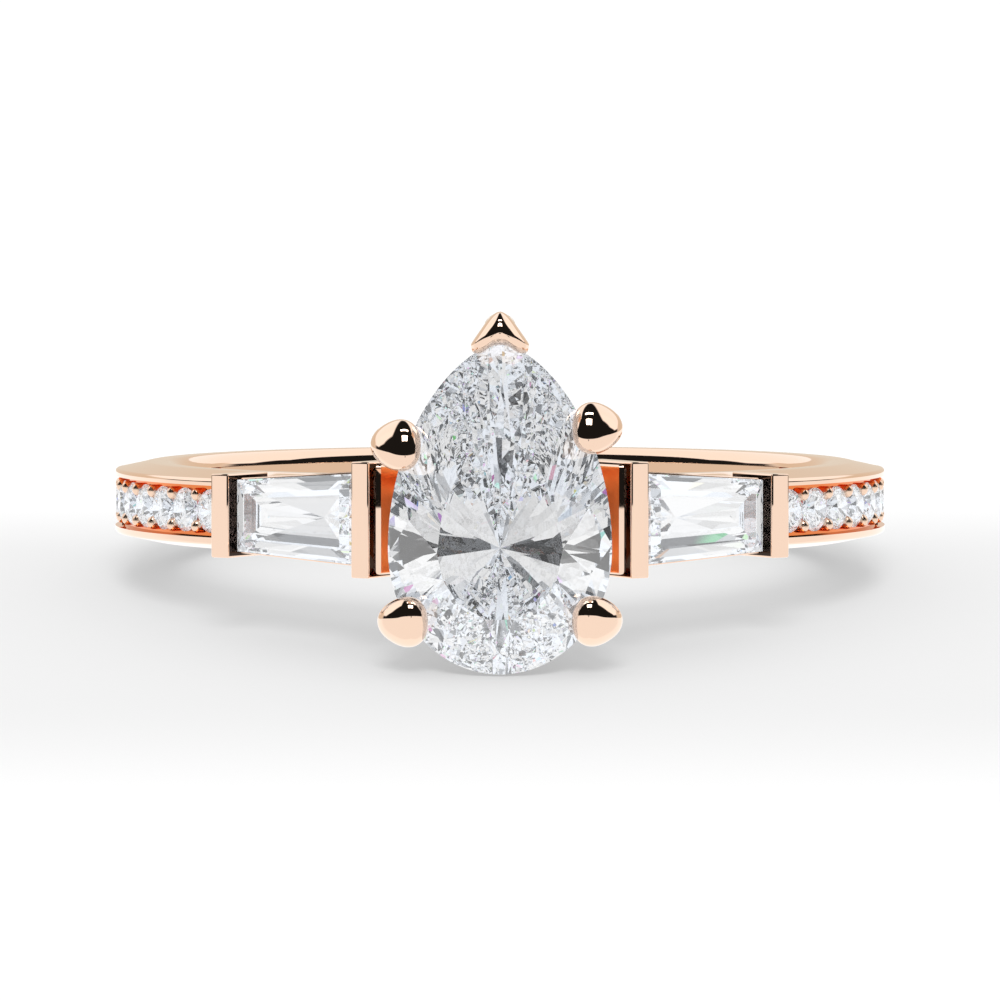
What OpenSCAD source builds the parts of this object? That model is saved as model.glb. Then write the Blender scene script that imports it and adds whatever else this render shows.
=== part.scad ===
// Pear-cut engagement ring with two tapered baguettes and a half band of pave.
// The finger hole runs along Z, the head faces -Y and the origin is the centre of the finger hole.
// The pear stands upright along Z with its point at the top.

/* [Band] */
// Inside diameter of the finger hole
bore_d = 17; // [16:0.1:18]
// Radial thickness of the band over the pave rails
band_t = 1.7; // [1.6:0.05:1.9]
// Width of the band where it is widest
band_w = 2.04; // [1.9:0.02:2.2]
// Width of the flat outer face that carries the pave
rail_w = 1.7; // [1.62:0.02:1.8]
// Radial thickness of the band where it passes under the head
under_head_t = 1.25; // [1.1:0.05:1.3]

/* [Pave] */
// Stones down each shoulder
pave_count = 8; // [4:1:9]
// Diameter of one pave stone
pave_d = 1.12; // [0.9:0.02:1.13]
// Angle from the front of the ring to the first stone
pave_first = 47.3; // [47:0.1:50]
// Angle between neighbouring stones
pave_step = 6.5; // [6.5:0.1:7]
// Width of the channel cut round the stones
channel_w = 1.32; // [1.2:0.02:1.36]
// Depth of that channel
channel_depth = 0.26; // [0.18:0.02:0.3]

/* [Baguettes] */
// Length of a tapered baguette
side_len = 3.63; // [3.5:0.01:3.65]
// Width at the end next to the pear
side_w_in = 2.28; // [2:0.02:2.4]
// Width at the outer end
side_w_out = 1.8; // [1.6:0.02:1.9]
// Angle by which the baguettes slope back from the front of the ring
side_slope = 32; // [31:0.5:33]

/* [Bars] */
// Thickness of each upright bar
bar_t = 0.53; // [0.4:0.01:0.55]
// Height of the bar at the outer end of a baguette
outer_bar_w = 2.11; // [2.06:0.01:2.3]
// Height of the bar next to the pear
inner_bar_w = 2.89; // [2.7:0.01:3]
// How far the outer bar stands above the baguette girdle
outer_bar_rise = 0.43; // [0.3:0.01:0.5]
// How far the inner bar stands above the baguette girdle
inner_bar_rise = 0.35; // [0.3:0.01:0.4]

/* [Centre stone] */
// Width of the pear at its belly
pear_w = 5.5; // [5.3:0.05:5.6]
// Length of the pear from its point to its round end
pear_l = 8.13; // [7.9:0.01:8.3]
// Distance from the axis of the finger hole to the pear's girdle
pear_girdle = 13; // [12.9:0.05:13.2]

/* [Claws] */
// Thickness of a claw wire
claw_wire_d = 0.84; // [0.7:0.02:0.9]
// Width of a claw's rounded tip
claw_tip_d = 1.24; // [1.1:0.02:1.3]

/* [Hidden] */
$fn = 96;

gold = [0.93, 0.70, 0.56];
diamond = [0.86, 0.92, 0.96];
sliver = 0.01;
big = 40;

// Band
bore_r = bore_d / 2;
band_r = bore_r + band_t;
shoulder_r = bore_r + 0.8;
under_head_r = bore_r + under_head_t;
bore_edge_r = 0.25;
rail_edge_r = 0.1;
channel_start = 43.6;
channel_end = pave_first + (pave_count - 0.3) * pave_step;
back_dome_r = 1.35;
back_shift = 0.8;

// Pave stones, as fractions of their diameter
pave_table = 0.56;
pave_crown = 0.15;
pave_edge = 0.03;
pave_depth = 0.43;
pave_sides = 16;
pave_girdle_r = band_r - 0.2;
seat_gap = 0.01;
grain_d = 0.3;
grain_z = 0.43;

// Baguettes
side_out_x = 6.6;
side_out_y = 8.95;
side_edge = 0.04;
side_crown = 0.3;
side_depth = 0.85;
side_step = 0.36;
side_keel_out = 0.55;
side_keel_in = 0.7;
box_wall = 0.3;
box_lip = 0.04;
bar_foot = 3;
bar_round = 0.12;
cheek_w = 2.73;
cheek_drop = 0.33;
cheek_ledge = 0.13;
cheek_in_x = 1.75;
cheek_in_y = 10.5;

// Centre stone, in the plane X and Z, with heights towards -Y
pear_belly = 3.08;
pear_tip = pear_l - pear_belly;
pear_z = -0.62;
pear_fullness = 0.63;
pear_edge = 0.09;
pear_crown = 0.86;
pear_depth = 2.3;
pear_table = 0.56;
pear_steps = 12;

// Basket
base_top = 10.3;
lower_gallery_h = 0.5;
lower_gallery_out = 0.62;
lower_gallery_in = 0.44;
upper_gallery_h = 0.45;
upper_gallery_top = 12.65;
upper_gallery_out = 0.97;
upper_gallery_in = 0.85;
foot_scale = 0.58;
claw_top = 13.12;
claw_lap = 0.5;
claw_sides = 20;
point_claw = [0, 4.62];
upper_left_claw = [-2.44, 1.98];
upper_right_claw = [2.27, 2.4];
lower_left_claw = [-2.34, -2.38];
lower_right_claw = [2.34, -2.36];

// A point on the pear's outline, for t from 0 at the round end to 1 at the point
function pear_round(a) = [pear_w / 2 * cos(a), pear_belly * sin(a)];
function pear_wing(u) = [pear_w / 2 * pow(1 - u * u, pear_fullness), pear_tip * u];
function pear_half() = concat(
    [for (i = [0 : pear_steps]) pear_round(-90 + 90 * i / pear_steps)],
    [for (i = [1 : pear_steps]) pear_wing(sin(90 * i / pear_steps))]);
function pear_outline() = concat(
    pear_half(),
    [for (i = [2 * pear_steps - 1 : -1 : 1]) [-pear_half()[i][0], pear_half()[i][1]]]);

// Where a claw meets the base, drawn in towards the belly of the pear
function claw_foot(p) = [p[0] * foot_scale, pear_z + (p[1] - pear_z) * foot_scale];

// Stands children on the band, with their Z pointing away from the finger
module at_band(angle, r) {
    rotate([0, 0, angle])
        translate([0, -r, 0])
            rotate([90, 0, 0])
                children();
}

// Turns children so that their Z points to the front of the ring and their Y points up
module facing_front(height) {
    translate([0, -height, 0])
        rotate([90, 0, 0])
            children();
}

// Puts children on the right baguette: X runs outwards along it, Z stands away from the finger
module on_right_side() {
    translate([side_out_x, -side_out_y, 0])
        rotate([0, 0, side_slope])
            rotate([90, 0, 0])
                children();
}

// Mirrors children to the left side of the ring when side is -1
module on_side(side) {
    mirror([side < 0 ? 1 : 0, 0, 0])
        children();
}

// Cross-section of the band: X is the radius and Y runs along the finger
module band_section() {
    half = band_w / 2;
    rail = rail_w / 2;
    polygon([
        [bore_r, -half + bore_edge_r],
        [bore_r + bore_edge_r, -half],
        [shoulder_r, -half],
        [band_r - rail_edge_r, -rail],
        [band_r, -rail + rail_edge_r],
        [band_r, rail - rail_edge_r],
        [band_r - rail_edge_r, rail],
        [shoulder_r, half],
        [bore_r + bore_edge_r, half],
        [bore_r, half - bore_edge_r]]);
    for (s = [-1, 1]) {
        translate([bore_r + bore_edge_r, s * (half - bore_edge_r)])
            circle(r = bore_edge_r);
        translate([band_r - rail_edge_r, s * (rail - rail_edge_r)])
            circle(r = rail_edge_r);
    }
}

// Domed outline that rounds the back of the band and fades out towards the shoulders
module back_dome() {
    dome_r = band_r + back_shift;
    translate([0, -back_shift, 0])
        rotate_extrude() {
            translate([0, -back_dome_r])
                square([dome_r - back_dome_r, 2 * back_dome_r]);
            intersection() {
                translate([dome_r - back_dome_r, 0])
                    circle(r = back_dome_r);
                translate([0, -back_dome_r])
                    square([dome_r, 2 * back_dome_r]);
            }
        }
}

// Space above the band between the outer bars, where the head stands
module head_notch() {
    difference() {
        linear_extrude(height = 2 * band_w, center = true)
            polygon([
                notch_edge(-1, 2),
                notch_edge(-1, -2),
                notch_edge(1, -2),
                notch_edge(1, 2)]);
        cylinder(h = 3 * band_w, r = under_head_r, center = true);
    }
}

// A point on the outer face of an outer bar, a distance above the girdle of the baguette
function notch_edge(side, rise) = [
    side * (side_out_x + bar_t * cos(side_slope) + rise * sin(side_slope)),
    -side_out_y + bar_t * sin(side_slope) - rise * cos(side_slope)];

// Channel for the stones down one shoulder
module pave_channel(side) {
    on_side(side)
        rotate([0, 0, -90 + channel_start])
            rotate_extrude(angle = channel_end - channel_start)
                translate([band_r - channel_depth, -channel_w / 2])
                    square([2 * channel_depth, channel_w]);
}

// Conical seat and light hole below one pave stone
module pave_seat() {
    seat_r = pave_d / 2 + seat_gap;
    cylinder(h = 1, r = seat_r);
    translate([0, 0, -pave_depth * pave_d])
        cylinder(h = pave_depth * pave_d, r1 = seat_gap, r2 = seat_r);
    translate([0, 0, -band_t - 1])
        cylinder(h = band_t + 1, r = 0.25);
}

module shank() {
    color(gold)
        difference() {
            intersection() {
                rotate_extrude()
                    band_section();
                back_dome();
            }
            head_notch();
            for (side = [-1, 1]) {
                pave_channel(side);
                for (i = [0 : pave_count - 1])
                    at_band(side * (pave_first + i * pave_step), pave_girdle_r)
                        pave_seat();
            }
        }
}

// Round brilliant with its girdle at Z = 0
module pave_stone(side, i) {
    r = pave_d / 2;
    color(diamond)
        at_band(side * (pave_first + i * pave_step), pave_girdle_r)
            hull() {
                translate([0, 0, pave_crown * pave_d])
                    rotate([0, 0, 180 / pave_sides])
                        cylinder(h = sliver, r = r * pave_table, $fn = pave_sides / 2);
                cylinder(h = pave_edge * pave_d, r = r, $fn = pave_sides);
                translate([0, 0, -pave_depth * pave_d + sliver])
                    cylinder(h = sliver, r = sliver, $fn = pave_sides / 2);
            }
}

// Rounded grains raised between the stones, two rows down one shoulder
module pave_grains(side) {
    floor_r = band_r - channel_depth;
    color(gold)
        difference() {
            for (i = [0 : pave_count], s = [-1, 1])
                at_band(side * (pave_first + (i - 0.5) * pave_step), floor_r)
                    translate([0, s * grain_z, 0])
                        pave_grain();
            for (i = [0 : pave_count - 1])
                at_band(side * (pave_first + i * pave_step), pave_girdle_r)
                    pave_seat();
        }
}

module pave_grain() {
    stem = channel_depth - grain_d / 2 - 0.02;
    cylinder(h = stem, d = grain_d);
    translate([0, 0, stem])
        intersection() {
            sphere(d = grain_d);
            cylinder(h = grain_d, d = 2 * grain_d);
        }
}

// Upright bar across the ring, with rounded corners, standing on the band
module bar(side, x, width, rise) {
    color(gold)
        difference() {
            on_side(side)
                on_right_side()
                    translate([x, -width / 2, rise - bar_foot])
                        bar_blank(width);
            cylinder(h = big, r = under_head_r, center = true);
        }
}

module bar_blank(width) {
    rotate([90, 0, 90])
        linear_extrude(height = bar_t)
            difference() {
                square([width, bar_foot]);
                for (s = [0, 1])
                    translate([s * width, bar_foot])
                        mirror([s, 0])
                            corner_cut();
            }
}

// Waste outside a rounded corner whose tip is at the origin
module corner_cut() {
    difference() {
        translate([-bar_round, -bar_round])
            square(2 * bar_round);
        translate([bar_round, -bar_round])
            circle(r = bar_round);
    }
}

// Step-cut tapered baguette with its girdle at Z = 0 and its outer end at X = 0
module baguette_blank() {
    module slab(from, to, cut, z, h) {
        taper = (side_w_in - side_w_out) / 2 / side_len;
        translate([0, 0, z])
            linear_extrude(height = h)
                polygon([
                    [-from, side_w_out / 2 + from * taper - cut],
                    [-from, -side_w_out / 2 - from * taper + cut],
                    [-to, -side_w_out / 2 - to * taper + cut],
                    [-to, side_w_out / 2 + to * taper - cut]]);
    }
    hull() {
        slab(side_step, side_len - side_step, side_step, side_crown - sliver, sliver);
        slab(0, side_len, 0, 0, side_edge);
        translate([-side_len + side_keel_in, -sliver, -side_depth])
            cube([side_len - side_keel_in - side_keel_out, 2 * sliver, sliver]);
    }
}

module baguette(side) {
    color(diamond)
        on_side(side)
            on_right_side()
                baguette_blank();
}

// Tapered setting below a baguette: an open box whose walls carry the stone's edges
module baguette_box(side) {
    taper = (side_w_in - side_w_out) / 2 / side_len;
    out = side_w_out / 2 + box_lip;
    in = side_w_in / 2 + box_lip;
    color(gold)
        difference() {
            on_side(side)
                on_right_side()
                    difference() {
                        translate([0, 0, -bar_foot])
                            linear_extrude(height = bar_foot)
                                polygon([[0, out], [0, -out], [-side_len, -in], [-side_len, in]]);
                        translate([0, 0, -2 * bar_foot])
                            linear_extrude(height = 3 * bar_foot)
                                polygon([
                                    [-box_wall, out - box_wall],
                                    [-box_wall, -out + box_wall],
                                    [-side_len + box_wall, -in + box_wall],
                                    [-side_len + box_wall, in - box_wall]]);
                        baguette_blank();
                    }
            cylinder(h = big, r = under_head_r, center = true);
        }
}

// Concave cheek that joins an inner bar to the basket
module cheek(side) {
    start = cheek_edge(cheek_drop, 0);
    ledge = cheek_edge(cheek_drop, cheek_ledge);
    foot = cheek_edge(cheek_drop + 2, 0);
    steps = 10;
    bow = 0.3;
    color(gold)
        difference() {
            on_side(side)
                linear_extrude(height = cheek_w, center = true)
                    polygon(concat(
                        [start],
                        [for (i = [0 : steps])
                            let (u = i / steps)
                            [ledge[0] + (cheek_in_x - ledge[0]) * u,
                             ledge[1] + (-cheek_in_y - ledge[1]) * u + bow * sin(180 * u)]],
                        [[cheek_in_x, -under_head_r + 1], foot]));
            cylinder(h = big, r = under_head_r, center = true);
            claw_wires();
            gallery_loop(base_top - 1, lower_gallery_h + 1, lower_gallery_out, 0);
        }
}

// A point on the inner face of an inner bar: depth below its top, then out from that face
function cheek_edge(depth, out) = [
    side_out_x - (side_len + bar_t + out) * cos(side_slope)
        + (inner_bar_rise - depth) * sin(side_slope),
    -side_out_y - (side_len + bar_t + out) * sin(side_slope)
        - (inner_bar_rise - depth) * cos(side_slope)];

// Saddle on the band that carries the basket
module head_base() {
    base_w = 1.9;
    color(gold)
        difference() {
            facing_front(base_top)
                translate([-cheek_in_x, -base_w / 2, -2])
                    cube([2 * cheek_in_x, base_w, 2]);
            cylinder(h = big, r = under_head_r, center = true);
        }
}

// Pear-shaped loop from one height to another, following the stone's outline
module gallery_loop(bottom, height, outer, inner) {
    facing_front(bottom)
        translate([0, pear_z, 0])
            linear_extrude(height = height)
                difference() {
                    scale(outer)
                        polygon(pear_outline());
                    if (inner > 0)
                        scale(inner)
                            polygon(pear_outline());
                }
}

module lower_gallery() {
    color(gold)
        gallery_loop(base_top, lower_gallery_h, lower_gallery_out, lower_gallery_in);
}

module upper_gallery() {
    color(gold)
        gallery_loop(upper_gallery_top - upper_gallery_h, upper_gallery_h,
            upper_gallery_out, upper_gallery_in);
}

// Pear brilliant: table, girdle and a pavilion that runs to one culet
module pear_stone() {
    facing_front(pear_girdle)
        translate([0, pear_z, 0])
            hull() {
                linear_extrude(height = pear_edge)
                    polygon(pear_outline());
                translate([0, 0, pear_crown - sliver])
                    linear_extrude(height = sliver)
                        scale(pear_table)
                            polygon(pear_outline());
                translate([0, 0, -pear_depth])
                    cylinder(h = sliver, r = sliver, $fn = 8);
            }
}

module centre_stone() {
    color(diamond)
        pear_stone();
}

// Wire of one claw, leaning out from the base to the girdle
module claw_wire(p) {
    foot = claw_foot(p);
    hull() {
        facing_front(base_top)
            translate([foot[0], foot[1], 0])
                cylinder(h = sliver, d = claw_wire_d, $fn = claw_sides);
        facing_front(claw_top - 0.2)
            translate([p[0] * 1.04, pear_z + (p[1] - pear_z) * 1.04, 0])
                sphere(d = claw_wire_d, $fn = claw_sides);
    }
}

module claw_wires() {
    for (p = [point_claw, upper_left_claw, upper_right_claw, lower_left_claw, lower_right_claw])
        claw_wire(p);
}

// Rounded tip of one claw, pushed over the edge of the stone
module claw_tip(p) {
    lap = claw_lap / norm([p[0], p[1] - pear_z]);
    hull() {
        facing_front(claw_top - 0.1)
            translate([p[0] * 1.03, pear_z + (p[1] - pear_z) * 1.03, 0])
                sphere(d = claw_tip_d * 0.9, $fn = claw_sides);
        facing_front(claw_top + 0.15)
            translate([p[0] * (1 - lap), pear_z + (p[1] - pear_z) * (1 - lap), 0])
                sphere(d = claw_tip_d * 0.5, $fn = claw_sides);
    }
}

// One claw, notched for the stone and for the two loops of the basket
module claw(p) {
    color(gold)
        difference() {
            union() {
                claw_wire(p);
                claw_tip(p);
            }
            pear_stone();
            gallery_loop(base_top, lower_gallery_h, lower_gallery_out, lower_gallery_in);
            gallery_loop(upper_gallery_top - upper_gallery_h, upper_gallery_h,
                upper_gallery_out, upper_gallery_in);
        }
}

// Folded claw over the pear's point: two short arms that meet at the top
module claw_point() {
    arm_x = 0.44;
    arm_z = 4.44;
    color(gold)
        difference() {
            union() {
                claw_wire(point_claw);
                for (s = [-1, 1])
                    hull() {
                        facing_front(claw_top)
                            translate([0, point_claw[1] - 0.05, 0])
                                sphere(d = 1, $fn = claw_sides);
                        facing_front(claw_top + 0.1)
                            translate([s * arm_x, arm_z, 0])
                                sphere(d = 0.6, $fn = claw_sides);
                    }
            }
            pear_stone();
            gallery_loop(base_top, lower_gallery_h, lower_gallery_out, lower_gallery_in);
            gallery_loop(upper_gallery_top - upper_gallery_h, upper_gallery_h,
                upper_gallery_out, upper_gallery_in);
        }
}

module claw_upper_left() { claw(upper_left_claw); }
module claw_upper_right() { claw(upper_right_claw); }
module claw_lower_left() { claw(lower_left_claw); }
module claw_lower_right() { claw(lower_right_claw); }

shank();
pave_stone(-1, 0);  // pave_stone_left_1
pave_stone(-1, 1);  // pave_stone_left_2
pave_stone(-1, 2);  // pave_stone_left_3
pave_stone(-1, 3);  // pave_stone_left_4
pave_stone(-1, 4);  // pave_stone_left_5
pave_stone(-1, 5);  // pave_stone_left_6
pave_stone(-1, 6);  // pave_stone_left_7
pave_stone(-1, 7);  // pave_stone_left_8
pave_stone(1, 0);  // pave_stone_right_1
pave_stone(1, 1);  // pave_stone_right_2
pave_stone(1, 2);  // pave_stone_right_3
pave_stone(1, 3);  // pave_stone_right_4
pave_stone(1, 4);  // pave_stone_right_5
pave_stone(1, 5);  // pave_stone_right_6
pave_stone(1, 6);  // pave_stone_right_7
pave_stone(1, 7);  // pave_stone_right_8
pave_grains(-1);  // pave_grains_left
pave_grains(1);  // pave_grains_right
bar(-1, 0, outer_bar_w, outer_bar_rise);  // outer_bar_left
bar(1, 0, outer_bar_w, outer_bar_rise);  // outer_bar_right
bar(-1, -side_len - bar_t, inner_bar_w, inner_bar_rise);  // inner_bar_left
bar(1, -side_len - bar_t, inner_bar_w, inner_bar_rise);  // inner_bar_right
baguette(-1);  // baguette_left
baguette(1);  // baguette_right
baguette_box(-1);  // baguette_box_left
baguette_box(1);  // baguette_box_right
cheek(-1);  // cheek_left
cheek(1);  // cheek_right
head_base();
lower_gallery();
upper_gallery();
claw_point();
claw_upper_left();
claw_upper_right();
claw_lower_left();
claw_lower_right();
centre_stone();
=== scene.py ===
"""Rose gold engagement ring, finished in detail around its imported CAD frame.

The finger hole runs along Z, the head faces -Y and the origin is the centre of the finger hole.
Sizes in the classes are millimetres, and a piece is made in metres when its mesh is closed.
"""
import logging
import math
from dataclasses import dataclass
from enum import Enum
from typing import Callable, Iterable, Union

import bmesh
import bpy
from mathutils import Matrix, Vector


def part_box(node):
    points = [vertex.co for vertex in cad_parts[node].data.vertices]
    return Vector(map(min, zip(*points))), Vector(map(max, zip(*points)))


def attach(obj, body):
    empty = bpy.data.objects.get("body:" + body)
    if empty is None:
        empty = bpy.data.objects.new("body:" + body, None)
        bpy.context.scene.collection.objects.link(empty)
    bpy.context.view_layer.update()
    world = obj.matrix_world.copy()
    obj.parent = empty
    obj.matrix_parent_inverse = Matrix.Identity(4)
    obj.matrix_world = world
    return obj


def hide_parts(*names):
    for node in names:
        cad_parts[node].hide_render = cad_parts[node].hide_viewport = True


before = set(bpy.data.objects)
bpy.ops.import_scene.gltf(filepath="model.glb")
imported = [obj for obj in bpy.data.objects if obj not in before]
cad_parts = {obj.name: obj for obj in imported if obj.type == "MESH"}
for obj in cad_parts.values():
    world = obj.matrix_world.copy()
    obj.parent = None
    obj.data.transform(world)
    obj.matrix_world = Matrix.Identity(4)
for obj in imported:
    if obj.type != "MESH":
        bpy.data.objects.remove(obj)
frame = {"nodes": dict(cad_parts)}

MM = 0.001
TOUCH = 0.01  # step along an outline to either side of a point, to find its direction there
BASE_R = 9.75  # radius of the band's notch, on which bars, boxes, cheeks and saddle stand
Point = tuple[float, float, float]
Flat = tuple[float, float]
Colour = tuple[float, float, float]
Signal = Union[float, bpy.types.NodeSocket]
log = logging.getLogger("ring")


class Side(Enum):
    """The two sides of the ring, seen from the front."""

    LEFT = -1
    RIGHT = 1

    @property
    def word(self) -> str:
        """The word that ends this side's node names."""
        return self.name.lower()


class Slot(Enum):
    """The record's material slots."""

    GOLD = "rose_gold"
    CENTRE = "centre_diamond"
    SIDES = "side_diamond"
    PAVE = "pave_diamond"


class Blank:
    """Points and faces in millimetres, gathered before they become one piece."""

    def __init__(self) -> None:
        """Starts empty."""
        self.points: list[Point] = []
        self.faces: list[tuple[int, ...]] = []

    def add(self, points: Iterable[Point], faces: Iterable[Iterable[int]]) -> None:
        """Adds points, and faces that count from the first of them.

        Args:
            points: Corners in millimetres.
            faces: Corner numbers of each face.
        """
        start = len(self.points)
        self.points.extend(points)
        self.faces.extend(tuple(start + corner for corner in face) for face in faces)

    def loft(self, rings: list[list[Point]], closed: bool = False) -> None:
        """Skins a row of rings that have the same number of points.

        Args:
            rings: Rings of points, one after the other.
            closed: Whether the last ring joins the first. If not, both ends are capped.
        """
        size = len(rings[0])
        count = len(rings)
        faces: list[tuple[int, ...]] = []
        for ring in range(count if closed else count - 1):
            here, there = ring * size, (ring + 1) % count * size
            for corner in range(size):
                after = (corner + 1) % size
                faces.append((here + corner, here + after, there + after, there + corner))
        if not closed:
            faces.append(tuple(range(size)))
            faces.append(tuple(reversed(range((count - 1) * size, count * size))))
        self.add([point for ring in rings for point in ring], faces)

    def swollen(self, share: float) -> "Blank":
        """A copy that is a little larger about its middle, to clear room for a stone.

        Args:
            share: Growth of every size, such as 0.01.

        Returns:
            The copy.
        """
        low = [min(point[axis] for point in self.points) for axis in range(3)]
        high = [max(point[axis] for point in self.points) for axis in range(3)]
        middle = [(low[axis] + high[axis]) / 2 for axis in range(3)]
        copy = Blank()
        for point in self.points:
            copy.points.append(tuple(at + (value - at) * (1 + share) for value, at in zip(point, middle)))
        copy.faces = list(self.faces)
        return copy

    def piece(self, name: str, mark: int = 0) -> bpy.types.Object:
        """Closes the blank into one mesh object, in metres.

        Args:
            name: Name of the object.
            mark: Material number of its faces.

        Returns:
            The new object.
        """
        mesh = bpy.data.meshes.new(name)
        scaled = [tuple(MM * value for value in point) for point in self.points]
        mesh.from_pydata(scaled, [], self.faces)
        work = bmesh.new()
        work.from_mesh(mesh)
        bmesh.ops.recalc_face_normals(work, faces=work.faces[:])
        for face in work.faces:
            face.material_index = mark
        work.to_mesh(mesh)
        work.free()
        piece = bpy.data.objects.new(name, mesh)
        bpy.context.scene.collection.objects.link(piece)
        return piece


class Bench:
    """The operations that finish a metal piece once its blank is closed."""

    @staticmethod
    def settle(piece: bpy.types.Object) -> None:
        """Makes the piece's modifiers part of its mesh."""
        depsgraph = bpy.context.evaluated_depsgraph_get()
        mesh = bpy.data.meshes.new_from_object(piece.evaluated_get(depsgraph))
        piece.modifiers.clear()
        piece.data = mesh

    @staticmethod
    def saw(piece: bpy.types.Object, cutter: bpy.types.Object) -> None:
        """Takes the cutter's volume out of the piece, and puts the cutter away.

        Args:
            piece: The metal piece.
            cutter: A closed mesh that is removed afterwards.
        """
        cut = piece.modifiers.new("saw", "BOOLEAN")
        cut.operation = "DIFFERENCE"
        cut.solver = "EXACT"
        cut.object = cutter
        Bench.settle(piece)
        bpy.data.objects.remove(cutter)

    @staticmethod
    def ease(piece: bpy.types.Object, width: float, steps: int = 3) -> None:
        """Rounds the piece's sharp edges.

        Args:
            piece: The metal piece.
            width: Width of the rounding in millimetres.
            steps: Facets across the rounding.
        """
        bevel = piece.modifiers.new("ease", "BEVEL")
        bevel.width = width * MM
        bevel.segments = steps
        bevel.limit_method = "ANGLE"
        bevel.angle_limit = math.radians(25)
        bevel.use_clamp_overlap = True
        Bench.settle(piece)

    @staticmethod
    def polish(piece: bpy.types.Object, crease: float = 40.0, flat: float = 0.0) -> None:
        """Shades the piece smoothly, with its wide faces kept flat.

        Args:
            piece: The metal piece.
            crease: Angle in degrees from which an edge stays sharp.
            flat: If given, faces over this many square millimetres are shaded flat instead.
        """
        piece.data.shade_smooth()
        piece.data.set_sharp_from_angle(angle=math.radians(crease))
        if flat:
            for face in piece.data.polygons:
                face.use_smooth = face.area < flat * MM * MM
            return
        even = piece.modifiers.new("even", "WEIGHTED_NORMAL")
        even.keep_sharp = True
        even.weight = 100
        Bench.settle(piece)


class Wiring:
    """Short words for wiring the nodes of one material or of the studio's light."""

    def __init__(self, tree: bpy.types.NodeTree) -> None:
        """Clears the tree and keeps it.

        Args:
            tree: The node tree to fill.
        """
        tree.nodes.clear()
        self.tree = tree

    @classmethod
    def of_material(cls, name: str) -> tuple[bpy.types.Material, "Wiring"]:
        """Makes an empty material.

        Args:
            name: Its name.

        Returns:
            The material and its wiring.
        """
        material = bpy.data.materials.new(name)
        material.use_nodes = True
        return material, cls(material.node_tree)

    def surface(self, shader: bpy.types.NodeSocket) -> None:
        """Wires a shader to the material's surface."""
        self.feed(self.node("ShaderNodeOutputMaterial").inputs["Surface"], shader)

    def node(self, kind: str, **settings: object) -> bpy.types.Node:
        """Adds one node.

        Args:
            kind: Blender's name of the node type.
            **settings: Attributes to set on it.

        Returns:
            The node.
        """
        made = self.tree.nodes.new(kind)
        for key, value in settings.items():
            setattr(made, key, value)
        return made

    def feed(self, socket: bpy.types.NodeSocket, value: object) -> None:
        """Links a socket to the input, or writes the value on it."""
        if isinstance(value, bpy.types.NodeSocket):
            self.tree.links.new(value, socket)
        else:
            socket.default_value = value

    def sum(self, operation: str, *values: Signal) -> bpy.types.NodeSocket:
        """Works out one operation on numbers.

        Args:
            operation: Blender's name of the operation.
            *values: Numbers or sockets.

        Returns:
            The result's socket.
        """
        made = self.node("ShaderNodeMath", operation=operation)
        for socket, value in zip(made.inputs, values):
            self.feed(socket, value)
        return made.outputs[0]

    def degrees(self, operation: str, *values: Signal) -> bpy.types.NodeSocket:
        """Works out an inverse angle function, in degrees.

        Args:
            operation: Blender's name of the operation.
            *values: Numbers or sockets.

        Returns:
            The angle's socket.
        """
        return self.sum("MULTIPLY", self.sum(operation, *values), 180.0 / math.pi)

    def rise(self, value: Signal, low: float, high: float) -> bpy.types.NodeSocket:
        """Goes smoothly from 0 at low to 1 at high; low may be the larger one.

        Args:
            value: Number to judge.
            low: Where the result is 0.
            high: Where the result is 1.

        Returns:
            The result's socket.
        """
        flip = low > high
        made = self.node("ShaderNodeMapRange", interpolation_type="SMOOTHSTEP")
        self.feed(made.inputs["Value"], value)
        self.feed(made.inputs["From Min"], min(low, high))
        self.feed(made.inputs["From Max"], max(low, high))
        self.feed(made.inputs["To Min"], 1.0 if flip else 0.0)
        self.feed(made.inputs["To Max"], 0.0 if flip else 1.0)
        return made.outputs["Result"]

    def blend(self, share: Signal, first: Signal, second: Signal) -> bpy.types.NodeSocket:
        """Mixes two numbers.

        Args:
            share: 0 for the first, 1 for the second.
            first: Number or socket.
            second: Number or socket.

        Returns:
            The mixed number's socket.
        """
        made = self.node("ShaderNodeMix", data_type="FLOAT")
        self.feed(made.inputs[0], share)
        self.feed(made.inputs[2], first)
        self.feed(made.inputs[3], second)
        return made.outputs[0]

    def tint(self, share: Signal, first: object, second: object) -> bpy.types.NodeSocket:
        """Mixes two colours.

        Args:
            share: 0 for the first, 1 for the second.
            first: Colour or socket.
            second: Colour or socket.

        Returns:
            The mixed colour's socket.
        """
        made = self.node("ShaderNodeMix", data_type="RGBA")
        self.feed(made.inputs[0], share)
        for socket, value in ((made.inputs[6], first), (made.inputs[7], second)):
            self.feed(socket, (*value, 1.0) if isinstance(value, tuple) else value)
        return made.outputs[2]

    def noise(self, scale: float, detail: float = 2.0) -> bpy.types.NodeSocket:
        """Smooth noise over the object's own space.

        Args:
            scale: Waves in a metre.
            detail: Octaves.

        Returns:
            The noise's socket, about 0.5.
        """
        place = self.node("ShaderNodeTexCoord")
        made = self.node("ShaderNodeTexNoise")
        self.feed(made.inputs["Vector"], place.outputs["Object"])
        made.inputs["Scale"].default_value = scale
        made.inputs["Detail"].default_value = detail
        return made.outputs["Fac"]


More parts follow.
